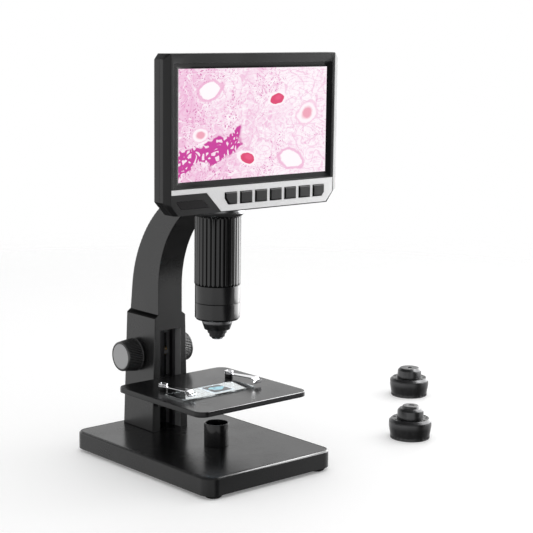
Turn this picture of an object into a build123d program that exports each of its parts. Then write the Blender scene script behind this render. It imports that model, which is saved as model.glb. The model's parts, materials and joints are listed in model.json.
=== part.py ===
from build123d import *

import math
import os

# Digital microscope with an upright screen head, in millimetres.
# X to the right, Y away from the user, Z up.  The origin is the middle of the
# base's footprint, on the plane that the feet stand on.

# ---------------------------------------------------------------- clearances
SLIP = 0.3            # gap between pieces that slide or turn past each other
FIT = 0.05            # radial gap of a shaft in its bush
INLAY = 0.2           # gap round an inlaid plate
SCREW_GAP = 0.1       # radial gap round a screw's shank
TOUCH = 0.05          # gap of a piece laid on its seat along a curved face

# ---------------------------------------------------------------- base
BASE_WIDTH = 135.4
BASE_DEPTH = 185.6
BASE_HEIGHT = 14.6
BASE_CORNER = 11.0
BASE_WALL = 2.5
BASE_TOP_WALL = 3.0
BASE_CHAMFER = 1.3
BASE_GROOVE = 0.6
BOTTOM_COVER = 2.0
FOOT_RADIUS = 7.0
FOOT_HEIGHT = 3.0
FOOT_INSET_X = 11.7
FOOT_INSET_FRONT = 8.8
FOOT_INSET_REAR = 21.8
BOSS_INSET_FRONT = 27.0
BOSS_INSET_REAR = 40.0
BOSS_RADIUS = 3.5
BATTERY_WIDTH = 40.0
BATTERY_LENGTH = 60.0
BATTERY_HEIGHT = 7.0

# ---------------------------------------------------------------- lamp
OPTICAL_Y = -20.0     # the optical axis stands here, at x = 0
LAMP_TUBE_RADIUS = 10.5
LAMP_TUBE_WALL = 1.0
LAMP_TUBE_HEIGHT = 19.4
LAMP_SEAT_HEIGHT = 6.0
LAMP_SEAT_WALL = 2.2
LAMP_LENS_HEIGHT = 2.6
LAMP_HOLE = 7.0
LAMP_BOARD = 24.0
BOARD = 1.2           # thickness of the circuit boards
LED_RADIUS = 2.5
LAMP_PLUG = 3.2
CABLE = 3.0
CABLE_HOLE = 2.8

# ---------------------------------------------------------------- column and arm
COLUMN_FRONT = 43.6
COLUMN_DEPTH = 42.4
COLUMN_DEPTH_TOP = 41.0
COLUMN_HALF_FOOT = 19.5
COLUMN_HALF_TOP = 16.7
COLUMN_HEIGHT = 100.2
SHOULDER_HEIGHT = 2.8
ARM_HALF = 13.0
ARM_FRONT_RADIUS = 83.65
ARM_BEND_HEIGHT = 77.5        # the camera housing's floor above the front arc's centre
ARM_REAR_RADIUS = 107.5
ARM_REAR_SETBACK = 68.5       # the rear arc's centre in front of the column
ARM_REAR_HEIGHT = 91.6        # the camera housing's floor above the rear arc's centre
ARM_REAR_LEAN = 6.3           # degrees, where the rear line runs into its arc
STAND_WALL = 4.0
COVER_PLATE = 2.5
COVER_EDGE = 2.2
COVER_END = 26.0              # behind the camera housing
COVER_SCREW_RISE = 16.0
EDGE_SOFT = 0.8
SLOT_HALF = 11.3
SLOT_DEPTH = 20.6
SLOT_HEIGHT = 89.1
WEB = 3.0
RACK_WELL_HALF = 5.5
RACK_WELL_DEPTH = 8.2
RAIL_WIDTH = 2.9
RAIL_DEPTH = 4.5
RAIL_SETBACK = 7.9
SLOT_RIB = 3.0
SLOT_RIB_PROUD = 1.9

# ---------------------------------------------------------------- focus drive
SHAFT_SETBACK = 25.0          # behind the column's front
SHAFT_HEIGHT = 65.3           # above the base
SHAFT_RADIUS = 3.0
BUSH_WALL = 3.0
HUB_RADIUS = 9.0
HUB_HALF = 18.6
MODULE = 1.0
PINION_TEETH = 12
TOOTH_ADDENDUM = 0.6
TOOTH_DEDENDUM = 1.25
TOOTH_WIDTH = 1.3
PRESSURE_ANGLE = 20.0
PINION_HALF = 3.8
KNOB_INNER = 20.2
KNOB_LENGTH = 15.3
KNOB_RADIUS_INNER = 14.6
KNOB_RADIUS_OUTER = 12.8
KNOB_HUB_RADIUS = 7.0
DISC_RADIUS = 11.0
DISC_THICK = 1.2

# ---------------------------------------------------------------- stage
STAGE_HEIGHT = 47.7           # its top above the base
STAGE_WIDTH = 117.2
STAGE_FRONT = -71.0
STAGE_THICK = 4.5
STAGE_CORNER = 9.0
STAGE_GAP = 0.6               # to the column
STAGE_EDGE = 0.5
STAGE_TRAVEL = 20.0           # each way
WINDOW_RADIUS = 15.0
WINDOW_THICK = 2.0
WINDOW_LEDGE = 2.5
BRACKET_HALF = 15.5
BRACKET_PLATE = 3.7
BRACKET_DROP = 20.8
BRACKET_REACH = 34.0
BRACKET_FLANGE = 3.0
GUSSET = 3.0
CARRIAGE_SETBACK = 2.9
CARRIAGE_HEIGHT = 20.0
CARRIAGE_RISE = 2.0
NECK_HALF = 7.8
RACK_HALF = 4.0
RACK_BACK = 3.85              # rack body behind the tooth roots
SLIDE_LENGTH = 76.2           # standard microscope slide, 3 in by 26 mm
SLIDE_WIDTH = 26.0
SLIDE_THICK = 1.2
SLIDE_CENTRE_X = -8.0
SLIDE_CENTRE_Y = -21.5
COVER_GLASS = 18.0
COVER_GLASS_THICK = 0.17
CLIP_X = 36.0
CLIP_Y = 7.0
CLIP_POST_RADIUS = 3.6
CLIP_POST_HEIGHT = 3.4
CLIP_NECK_RADIUS = 2.0
CLIP_CAP_RADIUS = 3.9
CLIP_CAP_HEIGHT = 1.8
CLIP_STRIP = 0.8
CLIP_REACH = 34.0
CLIP_ARM_RISE = 2.4           # from the post to the bend
CLIP_DIP_RUN = 3.5
CLIP_TAIL_RUN = 2.6
CLIP_TAIL_RISE = 1.6           # the tail's end above the strip at the post
CLIP_WIDTH_POST = 4.5
CLIP_WIDTH_TIP = 8.0

# ---------------------------------------------------------------- barrel
HEAD_HEIGHT = 204.4           # the camera housing's floor above the base
COLLAR_HEIGHT = 8.4
COLLAR_RADIUS_LOW = 20.0
COLLAR_RADIUS = 22.5
SLEEVE_RADIUS = 19.3
SLEEVE_LENGTH = 57.0
SLEEVE_FLUTES = 32
FLUTE_RADIUS = 1.0
FLUTE_DEPTH = 0.6
FLUTE_LAND = 1.6
LOWER_BARREL_RADIUS = 18.8
LOWER_BARREL_LENGTH = 15.0
TUBE_RADIUS = 16.9
TUBE_BORE = 14.9
TUBE_TOP = 4.0                # above the housing's floor plane
SPIGOT_RADIUS = 16.3
SPIGOT_LENGTH = 5.7
CARRIER_LENGTH = 24.0
CARRIER_DROP = 26.0           # its top below the sleeve's top
CARRIER_WALL = 2.4
CARRIER_PIN_RADIUS = 1.2
LENS_TRAVEL = 5.0             # each way
FOCUS_LENS_THICK = 5.0

# ---------------------------------------------------------------- objectives
OBJECTIVE_BODY = 14.4         # length of the body below the lower barrel
OBJECTIVE_WALL = 1.6
RIM_HEIGHT = 1.6               # of the mounted objective's lower edge
RIM_INSET = 1.2
RING_HEIGHT = 2.2
FACE_THICK = 2.0
NOSE_RADIUS = 13.0
NOSE_STEPS = [(12.6, 3.6), (10.7, 9.0), (8.4, 9.0), (7.9, 12.2), (6.9, 12.2), (6.4, 15.4), (5.3, 15.4), (4.3, 17.2)]
NOSE_BORE = 2.4
NOSE_LENS_THICK = 1.4
LED_COUNT = 9                 # places round the face; the last one is a slot
LED_CIRCLE = 14.6
LED_HOLE = 1.3
SPARE_RADIUS = 19.3
SPARE_RIM_RADIUS = 18.0
SPARE_HEIGHT = 18.0
SPARE_WALL = 1.8
SPARE_RING_INSET = 2.1
NOTCH_PITCH = 4.0
NOTCH_LENGTH = 3.0
NOTCH_HEIGHT = 1.3
NOTCH_RISE = 1.0
BOSS_STEPS = [(12.2, 0.0), (11.7, 7.6), (10.0, 9.4)]
FLAT_NOSE_HEIGHT = 10.0
STEP_NOSE_RADIUS = 8.0
STEP_NOSE_HEIGHT = 11.8
SPARE_A_PLACE = (303.0, 41.0)
SPARE_B_PLACE = (190.0, -66.0)

# ---------------------------------------------------------------- camera housing
HOUSING_HALF = 25.0
HOUSING_REAR = 23.0           # behind the optical axis
HOUSING_HEIGHT = 40.0
HOUSING_WALL = 2.5
HOUSING_ROUND = 5.0
SENSOR_BOARD = 20.0           # front to back
SENSOR_RISE = 16.0
SENSOR_SIZE = 9.0

# ---------------------------------------------------------------- screen head
SCREEN_FRONT = -67.0
SCREEN_RISE = 1.3             # the head's lower edge above the housing's floor
SCREEN_HEIGHT = 123.5
FRAME_HALF = 91.0
FACE_HALF = FRAME_HALF - 5.4
FACE_CHAMFER_X = 7.2
FACE_CHAMFER_Z = 9.0
FRAME_CHAMFER_X = 10.0
FRAME_CHAMFER_Z = 10.8
TOP_CHAMFER_X = 3.5
TOP_CHAMFER_Z = 4.5
BEVEL_DEPTH = 2.7
FRAME_DEPTH = 6.7
REAR_DEPTH = 8.2
REAR_CHAMFER = 1.2
FRAME_WALL = 2.5
FRAME_PLATE = 2.4
REAR_WALL = 2.0
PANEL_MARGIN = 8.5            # from the frame's side to the panel
PANEL_WIDTH = 2 * (FRAME_HALF - PANEL_MARGIN)
PANEL_HEIGHT = 99.0
PANEL_THICK = 5.2
PANEL_BORDER_X = 5.4
PANEL_BORDER_Z = 6.55
ACTIVE_WIDTH = PANEL_WIDTH - 2 * PANEL_BORDER_X      # 154.2 by 85.9, a 7-inch 16:9 picture
ACTIVE_HEIGHT = PANEL_HEIGHT - 2 * PANEL_BORDER_Z
PICTURE_CENTRE = 68.9         # above the head's lower edge
PICTURE_DEPTH = 1.4           # behind the face
BEVEL_SIDE = 5.3
BEVEL_LOW = 4.2
BEVEL_TOP = 4.3
FASCIA_TOP = 20.4             # above the head's lower edge
FASCIA_THIN = 4.0             # height of its narrow left strip
FASCIA_MARGIN = 0.8
FASCIA_LEFT = 0.7
FASCIA_THICK = 1.2
FASCIA_SLOPE_GAP = 9.8        # from the slope's lower end to the first key's middle
FASCIA_SLOPE_RUN = 14.8
KEY_COUNT = 7
KEY_MARGIN = 16.8             # from the last key's middle to the face's side
KEY_LAND = 3.35               # between two keys
KEY_HEIGHT = 9.4
KEY_LOW = 5.9                 # above the head's lower edge
KEY_PROUD = 1.0
KEY_BEVEL = 0.7
KEY_FLANGE = 0.9
KEY_FLANGE_THICK = 1.0
KEY_STUB = 0.4
KEY_STUB_RADIUS = 1.6
KEY_TRAVEL = 0.8
KEY_BOARD = 1.2
SWITCH_SIZE = 6.0
WINDOW_DEPTH = 1.2
IR_LOW = 5.0              # the remote window above the head's lower edge
IR_HIGH = 11.2
IR_LEFT = 10.3            # from the face's side to the window's lower left corner
IR_LEFT_LEAN = 5.1
IR_WIDTH = 27.8
IR_RIGHT_LEAN = 7.0
IR_GAP = 12.0             # from the window's lower right corner to the fascia's slope
MAIN_BOARD_HALF = FRAME_HALF - 36.0
MAIN_BOARD_LOW = 28.7
MAIN_BOARD_HIGH = 98.7
PORT_HALF = 4.5
PORT_THICK = 3.0
PORT_LENGTH = 7.3
PORT_CENTRE = 66.7
HEAD_BOSS_RADIUS = 2.5
HEAD_BOSS_INSET = 5.4
HEAD_BOSS_LOW = 28.7
HEAD_BOSS_HIGH = 106.7
VENT_COUNT = 9                # on each side of the rear cover
VENT_FIRST = 38.0
VENT_PITCH = 4.0
VENT_WIDTH = 1.8
VENT_LENGTH = 20.0
VENT_LOW = 84.0               # above the head's lower edge

# ---------------------------------------------------------------- places worked out
base_low = FOOT_HEIGHT
base_top = base_low + BASE_HEIGHT
base_inside = base_top - BASE_TOP_WALL
cover_top = base_low + BOTTOM_COVER
column_rear = COLUMN_FRONT + COLUMN_DEPTH
slot_rear = COLUMN_FRONT + SLOT_DEPTH
hollow_front = slot_rear + WEB
shoulder_low = base_top + COLUMN_HEIGHT
shoulder_high = shoulder_low + SHOULDER_HEIGHT
head_low = base_top + HEAD_HEIGHT
arm_bend = head_low - ARM_BEND_HEIGHT
arm_rear_y = COLUMN_FRONT - ARM_REAR_SETBACK
arm_rear_z = head_low - ARM_REAR_HEIGHT
shaft_y = COLUMN_FRONT + SHAFT_SETBACK
shaft_z = base_top + SHAFT_HEIGHT
pitch_radius = MODULE * PINION_TEETH / 2
pitch_line = shaft_y - pitch_radius
stage_top = base_top + STAGE_HEIGHT
stage_low = stage_top - STAGE_THICK
stage_rear = COLUMN_FRONT - STAGE_GAP
bracket_low = stage_low - BRACKET_DROP
carriage_low = bracket_low + CARRIAGE_RISE
carriage_high = carriage_low + CARRIAGE_HEIGHT
carriage_front = COLUMN_FRONT + CARRIAGE_SETBACK
rack_front = pitch_line - TOOTH_DEDENDUM - RACK_BACK
rack_tip = pitch_line + TOOTH_ADDENDUM
rack_low = shaft_z - STAGE_TRAVEL - 2 * pitch_radius
rack_high = shaft_z + STAGE_TRAVEL + pitch_radius + 2.0
well_high = rack_high + STAGE_TRAVEL + 2.0
slide_top = stage_top + SLIDE_THICK
collar_low = head_low - COLLAR_HEIGHT
sleeve_high = collar_low - SLIP
sleeve_low = sleeve_high - SLEEVE_LENGTH
barrel_high = sleeve_low - SLIP
barrel_low = barrel_high - LOWER_BARREL_LENGTH
objective_face_z = barrel_low - OBJECTIVE_BODY
housing_front = SCREEN_FRONT + FRAME_DEPTH + REAR_DEPTH
housing_rear = OPTICAL_Y + HOUSING_REAR
housing_top = head_low + HOUSING_HEIGHT
screen_low = head_low + SCREEN_RISE
screen_high = screen_low + SCREEN_HEIGHT
bevel_back = SCREEN_FRONT + BEVEL_DEPTH
frame_back = SCREEN_FRONT + FRAME_DEPTH
plate_back = SCREEN_FRONT + FRAME_PLATE
rear_back = frame_back + REAR_DEPTH
rear_inside = rear_back - REAR_WALL
picture_y = SCREEN_FRONT + PICTURE_DEPTH
picture_z = screen_low + PICTURE_CENTRE
panel_back = picture_y + PANEL_THICK
board_front = panel_back + 0.8
board_back = board_front + BOARD
ir_left = -FACE_HALF + IR_LEFT
ir_right = ir_left + IR_WIDTH
slope_low = ir_right + IR_GAP
key_first = slope_low + FASCIA_SLOPE_GAP
key_last = FACE_HALF - KEY_MARGIN
key_pitch = (key_last - key_first) / (KEY_COUNT - 1)
key_width = key_pitch - KEY_LAND
slope_top = slope_low - FASCIA_SLOPE_RUN

LOW = (Align.CENTER, Align.CENTER, Align.MIN)
UP = (0, 0, 1)
BACK = (0, 1, 0)
FRONT = (0, -1, 0)
RIGHT = (1, 0, 0)


# ---------------------------------------------------------------- shape helpers
def block(x0, x1, y0, y1, z0, z1):
    """Box between two corners."""
    middle = Pos((x0 + x1) / 2, (y0 + y1) / 2, (z0 + z1) / 2)
    return middle * Box(x1 - x0, y1 - y0, z1 - z0)


def disc(radius, z0, z1, x=0.0, y=0.0):
    """Upright cylinder."""
    return Pos(x, y, z0) * Cylinder(radius, z1 - z0, align=LOW)


def rod(radius, start, end):
    """Cylinder from one point to another."""
    run = Vector(*end) - Vector(*start)
    place = Plane(origin=start, z_dir=run)
    return place.location * Cylinder(radius, run.length, align=LOW)


def rounded_slab(width, depth, corner, z0, z1, y=0.0):
    """Flat plate with round upright corners."""
    return extrude(Pos(0, y, z0) * RectangleRounded(width, depth, corner), amount=z1 - z0)


def polygon_face(points):
    return Face(Wire.make_polygon([Vector(*p) for p in points]))


def front_prism(outline, y0, y1):
    """Solid of an (x, z) outline between two depths."""
    return extrude(polygon_face([(x, y0, z) for x, z in outline]), amount=y1 - y0, dir=BACK)


def side_prism(outline, half):
    """Solid of a (y, z) outline, the same to both sides of x = 0."""
    return extrude(polygon_face([(-half, y, z) for y, z in outline]), amount=2 * half, dir=RIGHT)


def turned(profile, x=0.0, y=0.0, z=0.0):
    """Turned solid of a closed (radius, height) profile on an upright axis."""
    face = polygon_face([(x + r, y, z + h) for r, h in profile])
    return revolve(face, axis=Axis((x, y, z), UP))


def mirrored_pair(shape):
    """The shape and its mirror image on the other side of x = 0."""
    return [shape, mirror(shape, about=Plane.YZ)]


def group(shapes):
    """Several separate solids in one node."""
    solids = [solid for shape in shapes for solid in shape.solids()]
    return Compound(solids)


def screw(at, along, length, shank, head, head_height):
    """Socket-head screw: underside of the head at a point, shank along a direction."""
    body = Cylinder(shank, length, align=LOW)
    body += Pos(0, 0, -head_height) * Cylinder(head, head_height, align=LOW)
    body -= Pos(0, 0, -head_height) * extrude(RegularPolygon(head * 0.5, 6), amount=head_height * 0.6)
    return Plane(origin=at, z_dir=along).location * body


def screw_hole(at, along, length, shank):
    """Hole for a screw's shank, a little longer and wider than the shank."""
    hole = Cylinder(shank + SCREW_GAP, length + 0.5, align=LOW)
    return Plane(origin=at, z_dir=along).location * hole


# ---------------------------------------------------------------- base
def cover_screw_places():
    x = BASE_WIDTH / 2 - FOOT_INSET_X
    front = -BASE_DEPTH / 2 + BOSS_INSET_FRONT
    rear = BASE_DEPTH / 2 - BOSS_INSET_REAR
    return [(sx * x, y) for sx in (-1, 1) for y in (front, rear)]


def stand_screw_places():
    side = (SLOT_HALF + COLUMN_HALF_FOOT) / 2
    front = COLUMN_FRONT + 6.0
    rear = column_rear - COVER_PLATE - 5.5
    return [(sx * side, front) for sx in (-1, 1)] + [(sx * (side - 3.0), rear) for sx in (-1, 1)]


COVER_SCREW = {"length": 8.0, "shank": 1.5, "head": 2.6, "head_height": 1.2}
STAND_SCREW = {"length": 13.0, "shank": 2.0, "head": 3.4, "head_height": 2.4}


def make_base_plate():
    body = rounded_slab(BASE_WIDTH, BASE_DEPTH, BASE_CORNER, base_low, base_top)
    body = chamfer(body.edges().group_by(Axis.Z)[-1], BASE_CHAMFER)
    inner_w = BASE_WIDTH - 2 * BASE_WALL
    inner_d = BASE_DEPTH - 2 * BASE_WALL
    body -= rounded_slab(inner_w, inner_d, BASE_CORNER - BASE_WALL, base_low, base_inside)
    rim = BASE_CHAMFER + BASE_GROOVE
    outer = rounded_slab(BASE_WIDTH - 2 * rim, BASE_DEPTH - 2 * rim, BASE_CORNER - rim,
                         base_top - BASE_GROOVE, base_top)
    rim += BASE_GROOVE
    outer -= rounded_slab(BASE_WIDTH - 2 * rim, BASE_DEPTH - 2 * rim, BASE_CORNER - rim,
                          base_top - BASE_GROOVE, base_top)
    body -= outer
    for x, y in cover_screw_places():
        body += disc(BOSS_RADIUS, cover_top, base_inside, x, y)
        body -= screw_hole((x, y, cover_top), UP, COVER_SCREW["length"], COVER_SCREW["shank"])
    body -= disc(LAMP_HOLE, base_inside, base_top, 0, OPTICAL_Y)
    body += group([disc(1.6, lamp_board_top(), base_inside, sx * 9.0, OPTICAL_Y + sy * 9.0)
                   for sx in (-1, 1) for sy in (-1, 1)])
    body -= disc(CABLE + 3.0, base_inside, base_top, 0, cable_hole_y())
    for x, y in stand_screw_places():
        body -= disc(STAND_SCREW["shank"] + SCREW_GAP, base_inside, base_top, x, y)
    return body


def make_bottom_cover():
    side = BASE_WALL + INLAY
    body = rounded_slab(BASE_WIDTH - 2 * side, BASE_DEPTH - 2 * side, BASE_CORNER - side, base_low, cover_top)
    for x, y in cover_screw_places():
        body -= disc(COVER_SCREW["head"] + SCREW_GAP, base_low, base_low + COVER_SCREW["head_height"], x, y)
        body -= disc(COVER_SCREW["shank"] + SCREW_GAP, base_low, cover_top, x, y)
    return body


def make_rubber_feet():
    x = BASE_WIDTH / 2 - FOOT_INSET_X
    front = -BASE_DEPTH / 2 + FOOT_INSET_FRONT
    rear = BASE_DEPTH / 2 - FOOT_INSET_REAR
    feet = []
    for sx in (-1, 1):
        for y in (front, rear):
            foot = disc(FOOT_RADIUS, 0.0, FOOT_HEIGHT, sx * x, y)
            feet.append(chamfer(foot.edges().group_by(Axis.Z)[0], 0.6))
    return group(feet)


def lamp_board_top():
    return base_inside - 2.0


def cable_hole_y():
    return hollow_front + 8.0


def make_illuminator_tube():
    r = LAMP_TUBE_RADIUS
    inner = r - LAMP_TUBE_WALL
    seat = r - LAMP_SEAT_WALL
    profile = [(seat, 0), (r, 0), (r, LAMP_TUBE_HEIGHT - 0.3), (r - 0.3, LAMP_TUBE_HEIGHT),
               (inner, LAMP_TUBE_HEIGHT), (inner, LAMP_SEAT_HEIGHT), (seat, LAMP_SEAT_HEIGHT)]
    return turned(profile, y=OPTICAL_Y, z=base_top)


def make_condenser_lens():
    r = LAMP_TUBE_RADIUS - LAMP_TUBE_WALL - INLAY
    z0 = base_top + LAMP_SEAT_HEIGHT
    body = disc(r, z0, z0 + LAMP_LENS_HEIGHT, 0, OPTICAL_Y)
    return fillet(body.edges().group_by(Axis.Z)[-1], LAMP_LENS_HEIGHT * 0.6)


def make_lamp_board():
    top = lamp_board_top()
    half = LAMP_BOARD / 2
    y0 = OPTICAL_Y - half
    y1 = OPTICAL_Y + half
    body = block(-half, half, y0, y1, top - BOARD, top)
    body += disc(LED_RADIUS, top, top + 1.4, 0, OPTICAL_Y)
    body += Pos(0, OPTICAL_Y, top + 1.4) * Sphere(LED_RADIUS)
    body += block(-4, 4, y1 - 6, y1, top - BOARD - LAMP_PLUG, top - BOARD)
    return body


def make_battery_pack():
    right = -CABLE - 6.0
    front = OPTICAL_Y + LAMP_BOARD / 2 + 2.0
    body = block(right - BATTERY_WIDTH, right, front, front + BATTERY_LENGTH, cover_top, cover_top + BATTERY_HEIGHT)
    return fillet(body.edges().filter_by(Axis.Y), 2.0)


# ---------------------------------------------------------------- stand
def tangent_on_rear_arc(inset):
    radius = ARM_REAR_RADIUS - inset
    lean = math.radians(ARM_REAR_LEAN)
    return arm_rear_y + radius * math.cos(lean), arm_rear_z + radius * math.sin(lean)


def on_arc(centre_y, centre_z, radius, y):
    return centre_z + math.sqrt(radius ** 2 - (y - centre_y) ** 2)


def arm_slab(front_in, rear_in, z_low, y_end, half):
    """Side profile of column and arm, drawn in from the front and rear skins."""
    front = COLUMN_FRONT + front_in
    front_radius = ARM_FRONT_RADIUS + front_in
    front_centre = COLUMN_FRONT - ARM_FRONT_RADIUS
    rear_radius = ARM_REAR_RADIUS - rear_in
    ty, tz = tangent_on_rear_arc(rear_in)
    mid_front = (front_centre + front_radius * math.cos(0.4), arm_bend + front_radius * math.sin(0.4))
    mid_rear = (arm_rear_y + rear_radius * math.cos(0.6), arm_rear_z + rear_radius * math.sin(0.6))
    end_front = (y_end, on_arc(front_centre, arm_bend, front_radius, y_end))
    end_rear = (y_end, on_arc(arm_rear_y, arm_rear_z, rear_radius, y_end))
    kink = (COLUMN_FRONT + COLUMN_DEPTH_TOP - rear_in, shoulder_high - 2.0)
    foot = rear_line_y(z_low, rear_in)

    def at(point):
        return (-half, point[0], point[1])

    edges = [Line(at((front, z_low)), at((front, arm_bend))),
             ThreePointArc(at((front, arm_bend)), at(mid_front), at(end_front)),
             Line(at(end_front), at(end_rear)),
             ThreePointArc(at(end_rear), at(mid_rear), at((ty, tz)))]
    if z_low < kink[1]:
        edges += [Line(at((ty, tz)), at(kink)), Line(at(kink), at((foot, z_low)))]
    else:
        edges += [Line(at((ty, tz)), at((foot, z_low)))]
    edges += [Line(at((foot, z_low)), at((front, z_low)))]
    return extrude(Face(Wire(edges)), amount=2 * half, dir=RIGHT)


def rear_line_y(z, inset):
    """Depth of the stand's rear line at a height below the rear arc."""
    ty, tz = tangent_on_rear_arc(inset)
    kink_y = COLUMN_FRONT + COLUMN_DEPTH_TOP - inset
    kink_z = shoulder_high - 2.0
    foot_y = column_rear - inset
    if z < kink_z:
        return foot_y + (kink_y - foot_y) * (z - base_top) / (kink_z - base_top)
    return kink_y + (ty - kink_y) * (z - kink_z) / (tz - kink_z)


def stand_width(inset, z_low, z_high=None):
    """Front view of the stand, drawn in by a distance on both sides."""
    top = z_high or head_low + HOUSING_HEIGHT
    foot = COLUMN_HALF_FOOT - inset
    shoulder = COLUMN_HALF_TOP - inset
    arm = ARM_HALF - inset
    outline = [(-foot, z_low), (foot, z_low), (shoulder, shoulder_low), (arm, shoulder_high), (arm, top),
               (-arm, top), (-arm, shoulder_high), (-shoulder, shoulder_low)]
    return front_prism(outline, SCREEN_FRONT, column_rear + 10.0)


def rear_cover_screw_places():
    low = base_top + COVER_SCREW_RISE
    high = shaft_z + COVER_SCREW_RISE
    return [(sx * x, z) for sx in (-1, 1) for x, z in ((10.0, low), (8.5, high))]


REAR_SCREW = {"length": 8.0, "shank": 1.2, "head": 2.2, "head_height": 1.2}
ARM_SCREW = {"length": 7.0, "shank": 1.5, "head": 2.6, "head_height": 1.6}


def arm_screw_places():
    z = on_arc(COLUMN_FRONT - ARM_FRONT_RADIUS, arm_bend, ARM_FRONT_RADIUS, housing_rear) + 9.0
    return [(sx * 6.0, z) for sx in (-1, 1)]


def make_stand_casting():
    body = arm_slab(0, 0, base_top, housing_rear, COLUMN_HALF_FOOT) & stand_width(0, base_top)
    outer = body.edges().filter_by(lambda e: abs(e.center().X) > ARM_HALF - 1)
    skin = outer.filter_by(lambda e: abs(e.tangent_at(0.5).X) < 0.2)
    body = fillet(skin, EDGE_SOFT)
    hollow = arm_slab(hollow_front - COLUMN_FRONT, -5.0, base_top, housing_rear + 30.0, COLUMN_HALF_FOOT)
    hollow &= stand_width(STAND_WALL, base_top, well_high + WEB + 6.0)
    hollow &= block(-60, 60, 0, 200, base_top, well_high + WEB + 6.0)
    upper = arm_slab(STAND_WALL, -5.0, well_high + WEB, cover_end_y() + COVER_EDGE, ARM_HALF)
    upper += arm_slab(STAND_WALL, STAND_WALL, well_high + WEB, housing_rear + STAND_WALL, ARM_HALF)
    hollow += upper & stand_width(STAND_WALL, base_top)
    body -= hollow
    recess = arm_slab(0, -5.0, base_top, cover_end_y(), COLUMN_HALF_FOOT)
    recess -= arm_slab(-1.0, COVER_PLATE, base_top - 1.0, cover_end_y() - 10.0, COLUMN_HALF_FOOT + 1)
    body -= recess & stand_width(COVER_EDGE, base_top)
    body -= block(-SLOT_HALF, SLOT_HALF, COLUMN_FRONT - 1, slot_rear, base_top, base_top + SLOT_HEIGHT)
    body -= block(-RACK_WELL_HALF, RACK_WELL_HALF, slot_rear - RACK_WELL_DEPTH, slot_rear, base_top, well_high)
    window = 2 * pitch_radius - 3.0
    body -= block(-RACK_WELL_HALF, RACK_WELL_HALF, slot_rear - 1, hollow_front + 1, shaft_z - window, shaft_z + window)
    for rib_z in (shaft_z - 0.9, base_top + SLOT_HEIGHT - 5.7):
        for sx in (-1, 1):
            x0, x1 = sorted((sx * (RACK_HALF + 1.0), sx * SLOT_HALF))
            body += block(x0, x1, slot_rear - SLOT_RIB_PROUD, slot_rear, rib_z - SLOT_RIB / 2, rib_z + SLOT_RIB / 2)
    inner = COLUMN_HALF_TOP - STAND_WALL - 0.5
    for sx in (-1, 1):
        body += rod(HUB_RADIUS, (sx * inner, shaft_y, shaft_z), (sx * HUB_HALF, shaft_y, shaft_z))
    reach = HUB_HALF + 1.0
    body -= rod(SHAFT_RADIUS + BUSH_WALL + FIT, (-reach, shaft_y, shaft_z), (reach, shaft_y, shaft_z))
    for x, y in stand_screw_places():
        if y > hollow_front:
            body += disc(STAND_SCREW["shank"] + 2.2, base_top, base_top + 14.0, x, y)
        body -= screw_hole((x, y, base_top), UP, STAND_SCREW["length"] - BASE_TOP_WALL, STAND_SCREW["shank"])
    for x, z in rear_cover_screw_places():
        seat_y = rear_line_y(z, COVER_PLATE) - 0.6
        body += rod(REAR_SCREW["shank"] + 1.3, (x, hollow_front, z), (x, seat_y, z))
        body -= screw_hole((x, seat_y + 1.2, z), FRONT, REAR_SCREW["length"], REAR_SCREW["shank"])
    for x, z in arm_screw_places():
        body -= rod(ARM_SCREW["shank"] + SCREW_GAP, (x, housing_rear, z), (x, housing_rear + STAND_WALL, z))
    body -= rod(CABLE_HOLE, (0, housing_rear, arm_cable_z()), (0, housing_rear + STAND_WALL, arm_cable_z()))
    collar = disc(COLLAR_RADIUS + 0.4, collar_low - 5, head_low, 0, OPTICAL_Y)
    return (body - collar).solids().sort_by(SortBy.VOLUME)[-1]


def arm_cable_z():
    return arm_screw_places()[0][1] + 0.5


def cover_end_y():
    return housing_rear + COVER_END


def make_stand_rear_cover():
    end = cover_end_y() + INLAY
    body = arm_slab(0, 0, base_top + INLAY, end, COLUMN_HALF_FOOT)
    body -= arm_slab(-1.0, COVER_PLATE - TOUCH, base_top - 1.0, end - 10.0, COLUMN_HALF_FOOT + 1)
    body &= stand_width(COVER_EDGE + INLAY, base_top)
    for x, z in rear_cover_screw_places():
        y = rear_line_y(z, 0)
        body -= rod(REAR_SCREW["head"] + SCREW_GAP, (x, y - 1.4, z), (x, y + 3, z))
        body -= rod(REAR_SCREW["shank"] + SCREW_GAP, (x, y - 6, z), (x, y + 3, z))
    return body.solids().sort_by(SortBy.VOLUME)[-1]


def make_guide_rails():
    front = COLUMN_FRONT + RAIL_SETBACK
    rail = block(SLOT_HALF - RAIL_WIDTH, SLOT_HALF, front, front + RAIL_DEPTH,
                 base_top, base_top + SLOT_HEIGHT)
    return group(mirrored_pair(rail))


def make_shaft_bushes():
    inner = COLUMN_HALF_TOP - STAND_WALL - 0.5
    bush = rod(SHAFT_RADIUS + BUSH_WALL, (inner, shaft_y, shaft_z), (HUB_HALF + 0.3, shaft_y, shaft_z))
    bush -= rod(SHAFT_RADIUS + FIT, (inner, shaft_y, shaft_z), (HUB_HALF + 1, shaft_y, shaft_z))
    return group(mirrored_pair(bush))


# ---------------------------------------------------------------- focus drive
def tooth_half(height):
    """Half width of a straight-sided tooth, at a height above the pitch line."""
    return TOOTH_WIDTH * MODULE / 2 - height * math.tan(math.radians(PRESSURE_ANGLE))


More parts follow.
